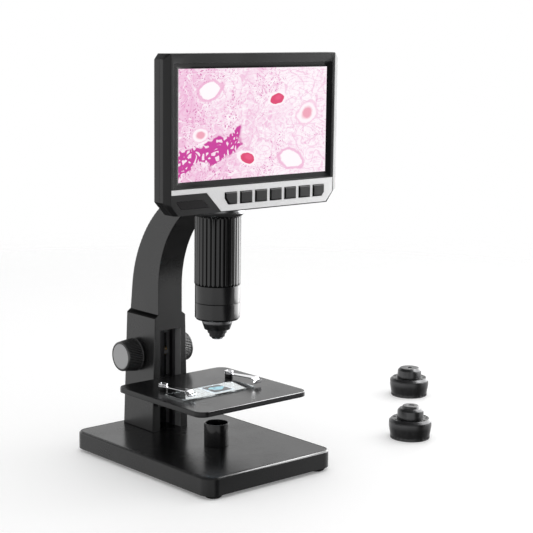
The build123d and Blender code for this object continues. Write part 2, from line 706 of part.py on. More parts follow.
def make_pinion_shaft():
    reach = KNOB_INNER + KNOB_LENGTH - DISC_THICK - 1.0
    body = rod(SHAFT_RADIUS, (-reach, shaft_y, shaft_z), (reach, shaft_y, shaft_z))
    root = pitch_radius - TOOTH_DEDENDUM
    tip = pitch_radius + TOOTH_ADDENDUM
    body += rod(root, (-PINION_HALF, shaft_y, shaft_z), (PINION_HALF, shaft_y, shaft_z))
    low = tooth_half(0.2 - TOOTH_DEDENDUM)
    high = tooth_half(TOOTH_ADDENDUM)
    outline = [(-low, root - 0.4), (low, root - 0.4), (high, tip), (-high, tip)]
    for k in range(PINION_TEETH):
        turn = 2 * math.pi * k / PINION_TEETH
        cos, sin = math.cos(turn), math.sin(turn)
        points = [(-PINION_HALF, shaft_y - r * cos - w * sin, shaft_z + w * cos - r * sin) for w, r in outline]
        body += extrude(polygon_face(points), amount=2 * PINION_HALF, dir=RIGHT)
    return body


def make_knob(side):
    """Knob on one end of the shaft, with a recess for its disc and a hub towards the column."""
    inner = KNOB_INNER
    outer = KNOB_INNER + KNOB_LENGTH
    r0 = KNOB_RADIUS_INNER
    r1 = KNOB_RADIUS_OUTER
    hub = HUB_HALF + 0.3 + SLIP
    recess = DISC_RADIUS + INLAY
    profile = [(SHAFT_RADIUS + FIT, hub), (KNOB_HUB_RADIUS, hub), (KNOB_HUB_RADIUS, inner), (r0 - 0.6, inner),
               (r0, inner + 0.6), (r1, outer - 0.8), (r1 - 0.8, outer), (recess, outer),
               (recess, outer - DISC_THICK), (SHAFT_RADIUS + FIT, outer - DISC_THICK)]
    face = polygon_face([(side * h, shaft_y + r, shaft_z) for r, h in profile])
    return revolve(face, axis=Axis((0, shaft_y, shaft_z), RIGHT))


def make_knob_discs():
    outer = KNOB_INNER + KNOB_LENGTH - 0.2
    plate = rod(DISC_RADIUS, (outer - DISC_THICK + 0.2, shaft_y, shaft_z), (outer, shaft_y, shaft_z))
    return group(mirrored_pair(plate))


# ---------------------------------------------------------------- stage
def make_rack():
    body = block(-RACK_HALF, RACK_HALF, rack_front, pitch_line - TOOTH_DEDENDUM, rack_low, rack_high)
    step = math.pi * MODULE
    count = int((rack_high - rack_low) / step / 2)
    root = pitch_line - TOOTH_DEDENDUM
    low = tooth_half(-TOOTH_DEDENDUM)
    high = tooth_half(TOOTH_ADDENDUM)
    for k in range(-count, count):
        z = shaft_z + (k + 0.5) * step
        if rack_low + low < z < rack_high - low:
            outline = [(root - 0.2, z - low), (root, z - low), (rack_tip, z - high), (rack_tip, z + high),
                       (root, z + low), (root - 0.2, z + low)]
            body += side_prism(outline, RACK_HALF)
    return body


def make_carriage():
    half = SLOT_HALF - SLIP
    rear = slot_rear - SLOT_RIB_PROUD - 0.4
    body = block(-half, half, carriage_front, rear, carriage_low, carriage_high)
    groove_front = COLUMN_FRONT + RAIL_SETBACK - SLIP
    groove_rear = COLUMN_FRONT + RAIL_SETBACK + RAIL_DEPTH + SLIP
    groove = SLOT_HALF - RAIL_WIDTH - SLIP
    for x0, x1 in ((-half - 1, -groove), (groove, half + 1)):
        body -= block(x0, x1, groove_front, groove_rear, carriage_low - 1, carriage_high + 1)
    body -= block(-RACK_HALF, RACK_HALF, rack_front, rear + 1, rack_low, carriage_high + 1)
    for x, z in carriage_screw_places():
        body -= rod(BRACKET_SCREW["shank"] + SCREW_GAP, (x, carriage_front, z), (x, carriage_front + 7.5, z))
    return body


BRACKET_SCREW = {"length": 13.5, "shank": 1.5, "head": 2.6, "head_height": 1.6}
STAGE_SCREW = {"length": 6.0, "shank": 1.5, "head": 2.6, "head_height": 1.6}


def carriage_screw_places():
    middle = (carriage_low + carriage_high) / 2
    return [(0, middle - 6.0), (0, middle + 3.0)]


def stage_screw_places():
    return [(sx * (BRACKET_HALF - GUSSET - 4.0), stage_rear - 12.0) for sx in (-1, 1)]


def make_stage_bracket():
    front = stage_rear - BRACKET_PLATE
    body = block(-BRACKET_HALF, BRACKET_HALF, front, stage_rear, bracket_low, stage_low)
    body += block(-BRACKET_HALF, BRACKET_HALF, stage_rear - BRACKET_REACH, stage_rear,
                  stage_low - BRACKET_FLANGE, stage_low)
    body += block(-NECK_HALF, NECK_HALF, stage_rear, carriage_front, carriage_low, stage_low - 1.0)
    outline = [(front, bracket_low + 2), (front, stage_low - BRACKET_FLANGE),
               (stage_rear - BRACKET_REACH + 3, stage_low - BRACKET_FLANGE)]
    gusset = side_prism(outline, GUSSET / 2)
    body += Pos(BRACKET_HALF - GUSSET / 2, 0, 0) * gusset
    body += Pos(-BRACKET_HALF + GUSSET / 2, 0, 0) * gusset
    for x, z in carriage_screw_places():
        body -= rod(BRACKET_SCREW["shank"] + SCREW_GAP, (x, front, z), (x, carriage_front, z))
    for x, y in stage_screw_places():
        body -= disc(STAGE_SCREW["shank"] + SCREW_GAP, stage_low - BRACKET_FLANGE, stage_low, x, y)
    return body


def make_bracket_screws():
    front = stage_rear - BRACKET_PLATE
    screws = [screw((x, front, z), BACK, **BRACKET_SCREW) for x, z in carriage_screw_places()]
    screws += [screw((x, y, stage_low - BRACKET_FLANGE), UP, **STAGE_SCREW) for x, y in stage_screw_places()]
    return group(screws)


def make_stage_plate():
    depth = stage_rear - STAGE_FRONT
    middle = (stage_rear + STAGE_FRONT) / 2
    body = rounded_slab(STAGE_WIDTH, depth, STAGE_CORNER, stage_low, stage_top, middle)
    body = chamfer(body.edges().group_by(Axis.Z)[-1], STAGE_EDGE)
    body -= disc(WINDOW_RADIUS + INLAY, stage_top - WINDOW_THICK, stage_top, 0, OPTICAL_Y)
    body -= disc(WINDOW_RADIUS - WINDOW_LEDGE, stage_low, stage_top, 0, OPTICAL_Y)
    for sx in (-1, 1):
        body -= disc(CLIP_NECK_RADIUS + FIT, stage_low, stage_top, sx * CLIP_X, CLIP_Y)
    for x, y in stage_screw_places():
        body -= disc(STAGE_SCREW["shank"] + SCREW_GAP, stage_low, stage_low + 3.4, x, y)
    return body


def make_stage_window():
    return disc(WINDOW_RADIUS, stage_top - WINDOW_THICK, stage_top - TOUCH, 0, OPTICAL_Y)


def clip_strip_low():
    return stage_top + CLIP_POST_HEIGHT + TOUCH


def make_clip_posts():
    z0 = stage_top
    strip_low = CLIP_POST_HEIGHT
    cap_low = CLIP_POST_HEIGHT + CLIP_STRIP + 2 * TOUCH
    cap_high = cap_low + CLIP_CAP_HEIGHT
    neck = CLIP_NECK_RADIUS
    profile = [(0, -STAGE_THICK), (neck, -STAGE_THICK), (neck, 0), (CLIP_POST_RADIUS, 0),
               (CLIP_POST_RADIUS, strip_low), (neck, strip_low), (neck, cap_low), (CLIP_CAP_RADIUS, cap_low),
               (CLIP_CAP_RADIUS, cap_high - 0.5), (CLIP_CAP_RADIUS - 0.5, cap_high), (0, cap_high)]
    post = turned(profile, x=CLIP_X, y=CLIP_Y, z=z0)
    return group(mirrored_pair(post))


def make_clip(side):
    """Spring strip: level from the post, down to the slide and up again at the tail."""
    low = clip_strip_low()
    rest = slide_top + SLIP
    t = CLIP_STRIP
    y0 = CLIP_Y - CLIP_REACH
    y1 = y0 - CLIP_DIP_RUN
    y2 = y1 - CLIP_TAIL_RUN
    eye_radius = CLIP_CAP_RADIUS + 0.2
    rear = CLIP_Y + eye_radius
    bend = low + CLIP_ARM_RISE
    tip = low + CLIP_TAIL_RISE
    outline = [(rear, low), (CLIP_Y - eye_radius, low), (y0, bend), (y1 + 0.3, rest), (y1 - 0.3, rest), (y2, tip),
               (y2, tip + t), (y1 - 0.5, rest + t), (y1 + 0.5, rest + t), (y0, bend + t),
               (CLIP_Y - eye_radius, low + t), (rear, low + t)]
    strip = side_prism(outline, CLIP_WIDTH_TIP / 2)
    w0 = CLIP_WIDTH_POST / 2
    w1 = CLIP_WIDTH_TIP / 2
    cut = CLIP_TAIL_RUN / 2
    shape = [(-w0, CLIP_Y), (w0, CLIP_Y), (w1, y0), (w1, y2 + cut), (w1 - cut, y2), (cut - w1, y2), (-w1, y2 + cut),
             (-w1, y0)]
    plan = extrude(polygon_face([(x, y, slide_top) for x, y in shape]), amount=12.0, dir=UP)
    eye = disc(eye_radius, slide_top, low + t, 0, CLIP_Y)
    strip &= plan + eye
    strip -= disc(CLIP_NECK_RADIUS + FIT, low - 1, low + t + 1, 0, CLIP_Y)
    return Pos(side * CLIP_X, 0, 0) * strip


def make_glass_slide():
    half = SLIDE_LENGTH / 2
    y = SLIDE_WIDTH / 2
    return block(SLIDE_CENTRE_X - half, SLIDE_CENTRE_X + half, SLIDE_CENTRE_Y - y, SLIDE_CENTRE_Y + y,
                 stage_top, slide_top)


def make_cover_glass():
    half = COVER_GLASS / 2
    return block(-half, half, OPTICAL_Y - half, OPTICAL_Y + half, slide_top, slide_top + COVER_GLASS_THICK)


# ---------------------------------------------------------------- barrel
def make_body_tube():
    top = head_low + TUBE_TOP
    bore = SPIGOT_RADIUS + SLIP
    seat = barrel_low + SPIGOT_LENGTH + 0.6
    profile = [(bore, barrel_low), (LOWER_BARREL_RADIUS - 0.4, barrel_low), (LOWER_BARREL_RADIUS, barrel_low + 0.4),
               (LOWER_BARREL_RADIUS, barrel_high), (TUBE_RADIUS, barrel_high), (TUBE_RADIUS, top),
               (TUBE_BORE, top), (TUBE_BORE, seat), (bore, seat)]
    body = turned(profile, y=OPTICAL_Y)
    pin_z = carrier_middle()
    reach = LENS_TRAVEL + CARRIER_PIN_RADIUS + SLIP
    slot = block(-TUBE_RADIUS - 1, TUBE_RADIUS + 1, OPTICAL_Y - CARRIER_PIN_RADIUS - SLIP,
                 OPTICAL_Y + CARRIER_PIN_RADIUS + SLIP, pin_z - reach, pin_z + reach)
    return body - slot


def carrier_middle():
    return sleeve_high - CARRIER_DROP - CARRIER_LENGTH / 2


def make_lens_carrier():
    outer = TUBE_BORE - SLIP
    inner = outer - CARRIER_WALL
    z0 = carrier_middle() - CARRIER_LENGTH / 2
    profile = [(inner - 1.5, 0), (outer, 0), (outer, CARRIER_LENGTH), (inner, CARRIER_LENGTH), (inner, 2.0),
               (inner - 1.5, 2.0)]
    body = turned(profile, y=OPTICAL_Y, z=z0)
    pin = rod(CARRIER_PIN_RADIUS, (outer - 1.0, OPTICAL_Y, carrier_middle()),
              (TUBE_RADIUS, OPTICAL_Y, carrier_middle()))
    return body + pin + mirror(pin, about=Plane.YZ)


def make_focus_lens():
    radius = TUBE_BORE - SLIP - CARRIER_WALL - FIT
    z0 = carrier_middle() - CARRIER_LENGTH / 2 + 2.0
    body = disc(radius, z0, z0 + FOCUS_LENS_THICK, 0, OPTICAL_Y)
    return fillet(body.edges().group_by(Axis.Z)[-1], FOCUS_LENS_THICK * 0.4)


def make_focus_sleeve():
    inner = TUBE_RADIUS + SLIP
    outer = SLEEVE_RADIUS
    profile = [(inner, sleeve_low), (outer - 0.5, sleeve_low), (outer, sleeve_low + 0.5), (outer, sleeve_high),
               (inner, sleeve_high)]
    body = turned(profile, y=OPTICAL_Y)
    reach = outer + FLUTE_RADIUS - FLUTE_DEPTH
    flutes = []
    for k in range(SLEEVE_FLUTES):
        turn = 2 * math.pi * (k + 0.5) / SLEEVE_FLUTES
        x = reach * math.cos(turn)
        y = OPTICAL_Y + reach * math.sin(turn)
        flutes.append(disc(FLUTE_RADIUS, sleeve_low + FLUTE_LAND, sleeve_high + 1, x, y))
    return body - flutes


def make_collar_ring():
    inner = TUBE_RADIUS + TOUCH
    low = COLLAR_RADIUS_LOW
    r = COLLAR_RADIUS
    h = COLLAR_HEIGHT
    profile = [(inner, 0), (low, 0), (low + 1.4, 1.2), (r - 0.4, 3.0), (r, 4.6), (r, h), (inner, h)]
    return turned(profile, y=OPTICAL_Y, z=collar_low)


HOUSING_SCREW = {"length": 8.0, "shank": 1.2, "head": 2.0, "head_height": 1.2}


def housing_screw_places():
    x = HOUSING_HALF - HOUSING_WALL - 2.0
    low = screen_low + REAR_WALL + HOUSING_SCREW["head"] + 0.4
    high = housing_top - HOUSING_WALL - 2.0
    return [(sx * x, z) for sx in (-1, 1) for z in (low, high)]


def make_camera_housing():
    body = block(-HOUSING_HALF, HOUSING_HALF, housing_front, housing_rear, head_low, housing_top)
    rear = body.edges().filter_by(lambda e: e.center().Y > housing_front + 1)
    soft = rear.filter_by(lambda e: e.center().Z > head_low + 1)
    body = fillet(soft, HOUSING_ROUND)
    w = HOUSING_WALL
    half = HOUSING_HALF - w
    hollow = block(-half, half, housing_front, housing_rear - w, head_low + w, housing_top - w)
    inner = hollow.edges().filter_by(lambda e: e.center().Y > housing_front + 1)
    body -= fillet(inner.filter_by(lambda e: e.center().Z > head_low + w + 1), HOUSING_ROUND - w)
    body -= disc(TUBE_RADIUS + TOUCH, head_low, head_low + w, 0, OPTICAL_Y)
    for x, z in housing_screw_places():
        end = housing_front + HOUSING_SCREW["length"] + 1.5
        body += rod(HOUSING_SCREW["shank"] + 1.3, (x, housing_front, z), (x, end, z))
        depth = HOUSING_SCREW["length"] - REAR_WALL
        body -= screw_hole((x, housing_front - 0.01, z), BACK, depth, HOUSING_SCREW["shank"])
    for x, z in arm_screw_places():
        body += rod(ARM_SCREW["shank"] + 1.4, (x, housing_rear - w - 2.0, z), (x, housing_rear - w + 0.5, z))
        body -= rod(ARM_SCREW["shank"] + SCREW_GAP, (x, housing_rear - 8, z), (x, housing_rear, z))
    body -= rod(CABLE_HOLE, (0, housing_rear - w, arm_cable_z()), (0, housing_rear, arm_cable_z()))
    for x, y in sensor_post_places():
        body += disc(1.8, head_low + w, head_low + SENSOR_RISE, x, y)
    return body


def sensor_post_places():
    y = SENSOR_BOARD / 2 - 2.0
    x = math.sqrt((TUBE_RADIUS + 2.0) ** 2 - y ** 2)
    return [(sx * x, OPTICAL_Y + sy * y) for sx in (-1, 1) for sy in (-1, 1)]


def make_sensor_board():
    half_x = sensor_post_places()[-1][0] + 2.0
    half_y = SENSOR_BOARD / 2
    z0 = head_low + SENSOR_RISE
    body = block(-half_x, half_x, OPTICAL_Y - half_y, OPTICAL_Y + half_y, z0, z0 + BOARD)
    s = SENSOR_SIZE / 2
    body += block(-s, s, OPTICAL_Y - s, OPTICAL_Y + s, z0 - 1.2, z0)
    body += block(-6, 6, OPTICAL_Y - 4, OPTICAL_Y + 5, z0 + BOARD, z0 + BOARD + 1.5)
    return body


# ---------------------------------------------------------------- objectives
def led_places(circle):
    step = 2 * math.pi / LED_COUNT
    return [(circle * math.cos(k * step), circle * math.sin(k * step)) for k in range(1, LED_COUNT)]


def face_ring(radius, hole, circle, x, y, z0, z1):
    """Lamp ring of an objective: round holes for the lamps and one curved slot."""
    ring = disc(radius, z0, z1, x, y) - disc(hole, z0, z1, x, y)
    for dx, dy in led_places(circle):
        ring -= disc(LED_HOLE, z0, z1, x + dx, y + dy)
    slot = disc(circle + LED_HOLE, z0, z1) - disc(circle - LED_HOLE, z0, z1)
    reach = 2 * circle
    spread = math.tan(math.radians(16.0)) * reach
    slot &= extrude(polygon_face([(0, 0, z0), (reach, -spread, z0), (reach, spread, z0)]), amount=z1 - z0, dir=UP)
    return ring - Pos(x, y, 0) * slot


def make_objective_shell():
    z = objective_face_z
    r = LOWER_BARREL_RADIUS
    inner = r - OBJECTIVE_WALL
    top = barrel_low - TOUCH
    floor = top - 2.0
    bore = SPIGOT_RADIUS - 2.0
    profile = [(r - RIM_INSET - 0.1, z), (r - RIM_INSET, z), (r, z + RIM_HEIGHT), (r, top), (SPIGOT_RADIUS, top),
               (SPIGOT_RADIUS, top + SPIGOT_LENGTH), (bore, top + SPIGOT_LENGTH), (bore, floor), (inner, floor),
               (inner, z + FACE_THICK + 0.2), (r - RIM_INSET - 0.1, z + FACE_THICK + 0.2)]
    return turned(profile, y=OPTICAL_Y)


def make_objective_face():
    z = objective_face_z
    radius = LOWER_BARREL_RADIUS - RIM_INSET - 0.1 - TOUCH
    return face_ring(radius, NOSE_RADIUS - 1.0, LED_CIRCLE, 0, OPTICAL_Y, z + 0.2, z + FACE_THICK + 0.2)


def nose_profile(steps, bore, back):
    """Closed profile of a stepped nose with a bore; heights run away from the face."""
    outline = [(bore, -back), (steps[0][0] - 1.0, -back), (steps[0][0] - 1.0, 0.0)]
    outline += [(r, h) for r, h in steps]
    return outline + [(bore, steps[-1][1])]


def flipped(profile, level):
    return [(r, level - h) for r, h in profile]


def make_objective_nose():
    steps = [(NOSE_RADIUS, 0.0)] + NOSE_STEPS
    profile = nose_profile(steps, NOSE_BORE, FACE_THICK)
    return turned(flipped(profile, objective_face_z + 0.2), y=OPTICAL_Y)


def make_objective_lens():
    tip = objective_face_z + 0.2 - NOSE_STEPS[-1][1]
    return disc(NOSE_BORE - TOUCH, tip + 0.4, tip + 0.4 + NOSE_LENS_THICK, 0, OPTICAL_Y)


def make_spare_shell(place):
    """Cup that stands on its notched rim, with a bright ring at the top."""
    x, y = place
    h = SPARE_HEIGHT
    r = SPARE_RADIUS
    low = SPARE_RIM_RADIUS
    ring = h - RING_HEIGHT
    top = r - SPARE_RING_INSET
    inner = low - SPARE_WALL
    seat = top - 0.4
    profile = [(inner, 0), (low, 0), (low, NOTCH_RISE + NOTCH_HEIGHT + 0.8), (r, ring * 0.7), (r, ring - 0.7),
               (r - 0.4, ring - 0.7), (r - 0.4, ring - 0.2), (r, ring - 0.2), (r, ring), (top, h), (seat, h),
               (seat, h - FACE_THICK - 0.2), (inner - 2.0, h - FACE_THICK - 0.2), (inner - 2.0, h - FACE_THICK - 2.2),
               (inner, h - FACE_THICK - 3.5)]
    body = turned(profile, x, y)
    count = int(2 * math.pi * low / NOTCH_PITCH)
    notches = []
    for k in range(count):
        notch = Pos(low, 0, NOTCH_RISE) * Box(2.0, NOTCH_LENGTH, NOTCH_HEIGHT, align=LOW)
        notches.append(Pos(x, y, 0) * Rot(0, 0, 360.0 * k / count) * notch)
    return body - notches


def make_spare_face(place):
    x, y = place
    top = SPARE_RADIUS - SPARE_RING_INSET - 0.4 - TOUCH
    z1 = SPARE_HEIGHT - 0.2
    return face_ring(top, BOSS_STEPS[0][0] - 1.0, LED_CIRCLE, x, y, z1 - FACE_THICK, z1)


def make_spare_nose(place, stepped):
    """Boss on the spare's face: flat with a hole, or with one more step round a small window."""
    x, y = place
    steps = list(BOSS_STEPS)
    if stepped:
        steps += [(STEP_NOSE_RADIUS, BOSS_STEPS[-1][1] + 0.2), (STEP_NOSE_RADIUS - 0.8, STEP_NOSE_HEIGHT)]
    else:
        steps += [(BOSS_STEPS[-1][0] - 0.6, FLAT_NOSE_HEIGHT)]
    body = turned(nose_profile(steps, NOSE_BORE, FACE_THICK), x, y, SPARE_HEIGHT - 0.2)
    if stepped:
        top = SPARE_HEIGHT - 0.2 + STEP_NOSE_HEIGHT
        body += disc(NOSE_BORE + 0.5, top - 3.0, top - 0.6, x, y)
    return body


# ---------------------------------------------------------------- screen head
def frame_outline(half, chamfer_x, chamfer_z, top_x, top_z, inset=0.0):
    """Front view of the head: eight corners, drawn in by a distance."""
    x = half - inset
    low = screen_low + inset
    high = screen_high - inset
    return [(-x + chamfer_x, low), (x - chamfer_x, low), (x, low + chamfer_z), (x, high - top_z), (x - top_x, high),
            (-x + top_x, high), (-x, high - top_z), (-x, low + chamfer_z)]


def rear_outline(inset=0.0):
    return frame_outline(FRAME_HALF, FRAME_CHAMFER_X, FRAME_CHAMFER_Z, TOP_CHAMFER_X, TOP_CHAMFER_Z, inset)


def window_outline(side, low, high):
    x = ACTIVE_WIDTH / 2 + side
    z0 = picture_z - ACTIVE_HEIGHT / 2 - low
    z1 = picture_z + ACTIVE_HEIGHT / 2 + high
    return [(-x, z0), (x, z0), (x, z1), (-x, z1)]


def between(outline_a, y_a, outline_b, y_b):
    """Solid with straight sides between two outlines at two depths."""
    first = polygon_face([(x, y_a, z) for x, z in outline_a])
    second = polygon_face([(x, y_b, z) for x, z in outline_b])
    return loft([first, second], ruled=True)


def fascia_outline(grow=0.0):
    left = -FACE_HALF + FASCIA_LEFT - grow
    right = FACE_HALF - FASCIA_MARGIN + grow
    low = screen_low + FASCIA_MARGIN - grow
    high = screen_low + FASCIA_TOP + grow
    thin = high - FASCIA_THIN - 2 * grow
    return [(left, thin), (slope_top - grow, thin), (slope_low - grow, low), (right - FACE_CHAMFER_X + grow, low),
            (right, low + FACE_CHAMFER_Z - 0.8), (right, high), (left, high)]


def key_outline(index, grow=0.0):
    """One key; the outermost two have a cut lower corner."""
    middle = key_first + index * key_pitch
    x = key_width / 2 + grow
    low = screen_low + KEY_LOW - grow
    high = screen_low + KEY_LOW + KEY_HEIGHT + grow
    points = [(middle - x, high), (middle - x, low), (middle + x, low), (middle + x, high)]
    if index == 0:
        points[1:2] = [(middle - x, low + 5.1), (middle - x + 3.7, low)]
    if index == KEY_COUNT - 1:
        points[2:3] = [(middle + x - 2.6, low), (middle + x, low + 3.0)]
    return points


def ir_outline(grow=0.0):
    """Slanted window of the remote's receiver, between the face's side and the fascia."""
    high = screen_low + IR_HIGH + grow
    low = screen_low + IR_LOW - grow
    lean = 1.3 * grow
    return [(ir_left - lean, low), (ir_right + grow + lean, low),
            (ir_right - IR_RIGHT_LEAN + grow, high), (ir_left - IR_LEFT_LEAN - lean, high)]


def head_boss_places():
    x = FRAME_HALF - HEAD_BOSS_INSET
    return [(sx * x, screen_low + h) for sx in (-1, 1) for h in (HEAD_BOSS_LOW, HEAD_BOSS_HIGH)]


HEAD_SCREW = {"length": 8.5, "shank": 1.1, "head": 2.0, "head_height": 1.2}
HEAD_SCREW_SINK = 1.6


def make_front_frame():
    face = frame_outline(FACE_HALF, FACE_CHAMFER_X, FACE_CHAMFER_Z, 0.5, 0.5)
    body = between(face, SCREEN_FRONT, rear_outline(), bevel_back)
    body += front_prism(rear_outline(), bevel_back, frame_back)
    body -= front_prism(rear_outline(FRAME_WALL), plate_back, frame_back)
    half_w = PANEL_WIDTH / 2 + SLIP
    half_h = PANEL_HEIGHT / 2 + SLIP
    body -= block(-half_w, half_w, picture_y, plate_back, picture_z - half_h, picture_z + half_h)
    body -= between(window_outline(BEVEL_SIDE, BEVEL_LOW, BEVEL_TOP), SCREEN_FRONT,
                    window_outline(0, 0, 0), picture_y)
    body -= front_prism(fascia_outline(INLAY), SCREEN_FRONT, SCREEN_FRONT + FASCIA_THICK)
    body -= front_prism(ir_outline(INLAY), SCREEN_FRONT, SCREEN_FRONT + WINDOW_DEPTH)
    for k in range(KEY_COUNT):
        body -= front_prism(key_outline(k, SLIP), SCREEN_FRONT, plate_back)
    for x, z in head_boss_places():
        body += rod(HEAD_BOSS_RADIUS, (x, plate_back, z), (x, frame_back, z))
        body -= screw_hole((x, frame_back, z), FRONT, FRAME_DEPTH - FRAME_PLATE - 1.0, HEAD_SCREW["shank"])
    for x in key_post_places():
        body += rod(1.3, (x, plate_back, key_post_z()), (x, key_board_front(), key_post_z()))
    return body


def key_post_places():
    return [key_first - 4.0, (key_first + key_last) / 2, key_last + 4.0]


def key_post_z():
    return screen_low + KEY_LOW + KEY_HEIGHT + KEY_FLANGE + 1.3 + 0.4


def key_back():
    return plate_back + SLIP + KEY_FLANGE_THICK


def key_board_front():
    """Front of the key board: the stub's travel, a gap and the switch in front of it."""
    return key_back() + KEY_STUB + KEY_TRAVEL + SLIP + 0.3


def make_fascia_panel():
    body = front_prism(fascia_outline(), SCREEN_FRONT, SCREEN_FRONT + FASCIA_THICK)
    for k in range(KEY_COUNT):
        body -= front_prism(key_outline(k, SLIP), SCREEN_FRONT - 1, SCREEN_FRONT + FASCIA_THICK)
    return body


def make_button(index):
    front = SCREEN_FRONT - KEY_PROUD
    flange = plate_back + SLIP
    middle = key_first + index * key_pitch
    z = screen_low + KEY_LOW + KEY_HEIGHT / 2
    body = front_prism(key_outline(index), front, flange)
    body = chamfer(body.edges().group_by(Axis.Y)[0], KEY_BEVEL)
    body += front_prism(key_outline(index, KEY_FLANGE), flange, key_back())
    body += rod(KEY_STUB_RADIUS, (middle, key_back(), z), (middle, key_back() + KEY_STUB, z))
    return body


def make_button_board():
    y0 = key_board_front()
    z = screen_low + KEY_LOW + KEY_HEIGHT / 2
    body = block(key_first - 8.0, key_last + 8.0, y0, y0 + KEY_BOARD, screen_low + KEY_LOW - 0.5, key_post_z() + 1.2)
    half = SWITCH_SIZE / 2
    for k in range(KEY_COUNT):
        x = key_first + k * key_pitch
        body += block(x - half, x + half, y0 - 0.3, y0, z - half, z + half)
    return body


def make_ir_window():
    return front_prism(ir_outline(), SCREEN_FRONT, SCREEN_FRONT + WINDOW_DEPTH)


def make_lcd_panel():
    w = PANEL_WIDTH / 2
    h = PANEL_HEIGHT / 2
    return block(-w, w, picture_y, panel_back, picture_z - h, picture_z + h)


def cable_exit():
    """Height at which the harness passes into the screen head."""
    return screen_low + MAIN_BOARD_LOW + 3.5


def make_main_board():
    low = screen_low + MAIN_BOARD_LOW
    high = screen_low + MAIN_BOARD_HIGH
    port = screen_low + PORT_CENTRE
    body = block(-MAIN_BOARD_HALF, MAIN_BOARD_HALF, board_front, board_back, low, high)
    edge = FRAME_HALF - REAR_WALL - 0.6
    body += block(MAIN_BOARD_HALF, edge, board_front, board_back, port - 9, port + 9)
    chips = [(-30, 60, 14), (8, 62, 10), (32, 78, 8), (-6, 84, 7), (-38, 86, 6)]
    for x, h, size in chips:
        z = screen_low + h
        body += block(x - size / 2, x + size / 2, board_back, board_back + 1.2, z - size / 2, z + size / 2)
    z = cable_exit()
    body += block(-4, 4, board_back, board_back + 1.8, z - 3, z + 3)
    return body


def board_post_places():
    low = screen_low + MAIN_BOARD_LOW + 12.0
    high = screen_low + MAIN_BOARD_HIGH - 5.0
    return [(sx * (MAIN_BOARD_HALF - 5.0), z) for sx in (-1, 1) for z in (low, high)]


def make_rear_cover():
    body = front_prism(rear_outline(), frame_back, rear_back)
    body = chamfer(body.edges().group_by(Axis.Y)[-1], REAR_CHAMFER)
    body -= front_prism(rear_outline(REAR_WALL), frame_back, rear_inside)
    for x, z in head_boss_places():
        body += rod(HEAD_BOSS_RADIUS, (x, frame_back, z), (x, rear_inside, z))
        body -= rod(HEAD_SCREW["shank"] + SCREW_GAP, (x, frame_back, z), (x, rear_back, z))
        body -= rod(HEAD_SCREW["head"] + SCREW_GAP, (x, rear_back - HEAD_SCREW_SINK, z), (x, rear_back, z))
    for x, z in board_post_places():
        body += rod(2.4, (x, board_back, z), (x, rear_inside, z))
    for x, z in housing_screw_places():
        body -= rod(HOUSING_SCREW["shank"] + SCREW_GAP, (x, rear_inside, z), (x, rear_back, z))
    z = cable_exit()
    body -= rod(CABLE / 2 + 0.6, (0, rear_inside, z), (0, rear_back, z))
    port = screen_low + PORT_CENTRE
    body -= block(FRAME_HALF - REAR_WALL - 0.5, FRAME_HALF + 1, board_back - INLAY, board_back + PORT_THICK + INLAY,
                  port - PORT_HALF - INLAY, port + PORT_HALF + INLAY)
    vent_low = screen_low + VENT_LOW
    for k in range(VENT_COUNT):
        for sx in (-1, 1):
            x = sx * (VENT_FIRST + VENT_PITCH * k)
            body -= block(x - VENT_WIDTH / 2, x + VENT_WIDTH / 2, rear_inside - 0.5, rear_back + 0.5,
                          vent_low, vent_low + VENT_LENGTH)
    return body


def make_usb_port():
    x1 = FRAME_HALF - 0.3
    x0 = x1 - PORT_LENGTH
    z = screen_low + PORT_CENTRE
    y0 = board_back
    y1 = board_back + PORT_THICK
    shell = block(x0, x1, y0, y1, z - PORT_HALF, z + PORT_HALF)
    shell = fillet(shell.edges().filter_by(Axis.X), PORT_THICK * 0.45)
    mouth = block(x0 + 1, x1, y0 + 0.35, y1 - 0.35, z - PORT_HALF + 0.35, z + PORT_HALF - 0.35)
    shell -= fillet(mouth.edges().filter_by(Axis.X), PORT_THICK * 0.45 - 0.35)
    middle = (y0 + y1) / 2
    return shell + block(x0 + 0.5, x1 - 0.8, middle - 0.35, middle + 0.35, z - 3.2, z + 3.2)


# ---------------------------------------------------------------- screws and harness
def make_case_screws():
    screws = []
    for x, y in cover_screw_places():
        screws.append(screw((x, y, base_low + COVER_SCREW["head_height"]), UP, **COVER_SCREW))
    for x, y in stand_screw_places():
        screws.append(screw((x, y, base_inside), UP, **STAND_SCREW))
    for x, z in rear_cover_screw_places():
        screws.append(screw((x, rear_line_y(z, 0) - 1.4, z), FRONT, **REAR_SCREW))
    for x, z in arm_screw_places():
        screws.append(screw((x, housing_rear + STAND_WALL, z), FRONT, **ARM_SCREW))
    for x, z in housing_screw_places():
        screws.append(screw((x, rear_inside, z), BACK, **HOUSING_SCREW))
    for x, z in head_boss_places():
        screws.append(screw((x, rear_back - HEAD_SCREW_SINK, z), FRONT, **HEAD_SCREW))
    return group(screws)


def corner_radii(points):
    """Bend radii of a harness: 0.45 of the shorter run over the tangent of half the turn."""
    radii = []
    for a, b, c in zip(points, points[1:], points[2:]):
        before = Vector(*b) - Vector(*a)
        after = Vector(*c) - Vector(*b)
        half_turn = math.radians(before.get_angle(after)) / 2
        radii.append(0.45 * min(before.length, after.length) / math.tan(half_turn))
    return radii


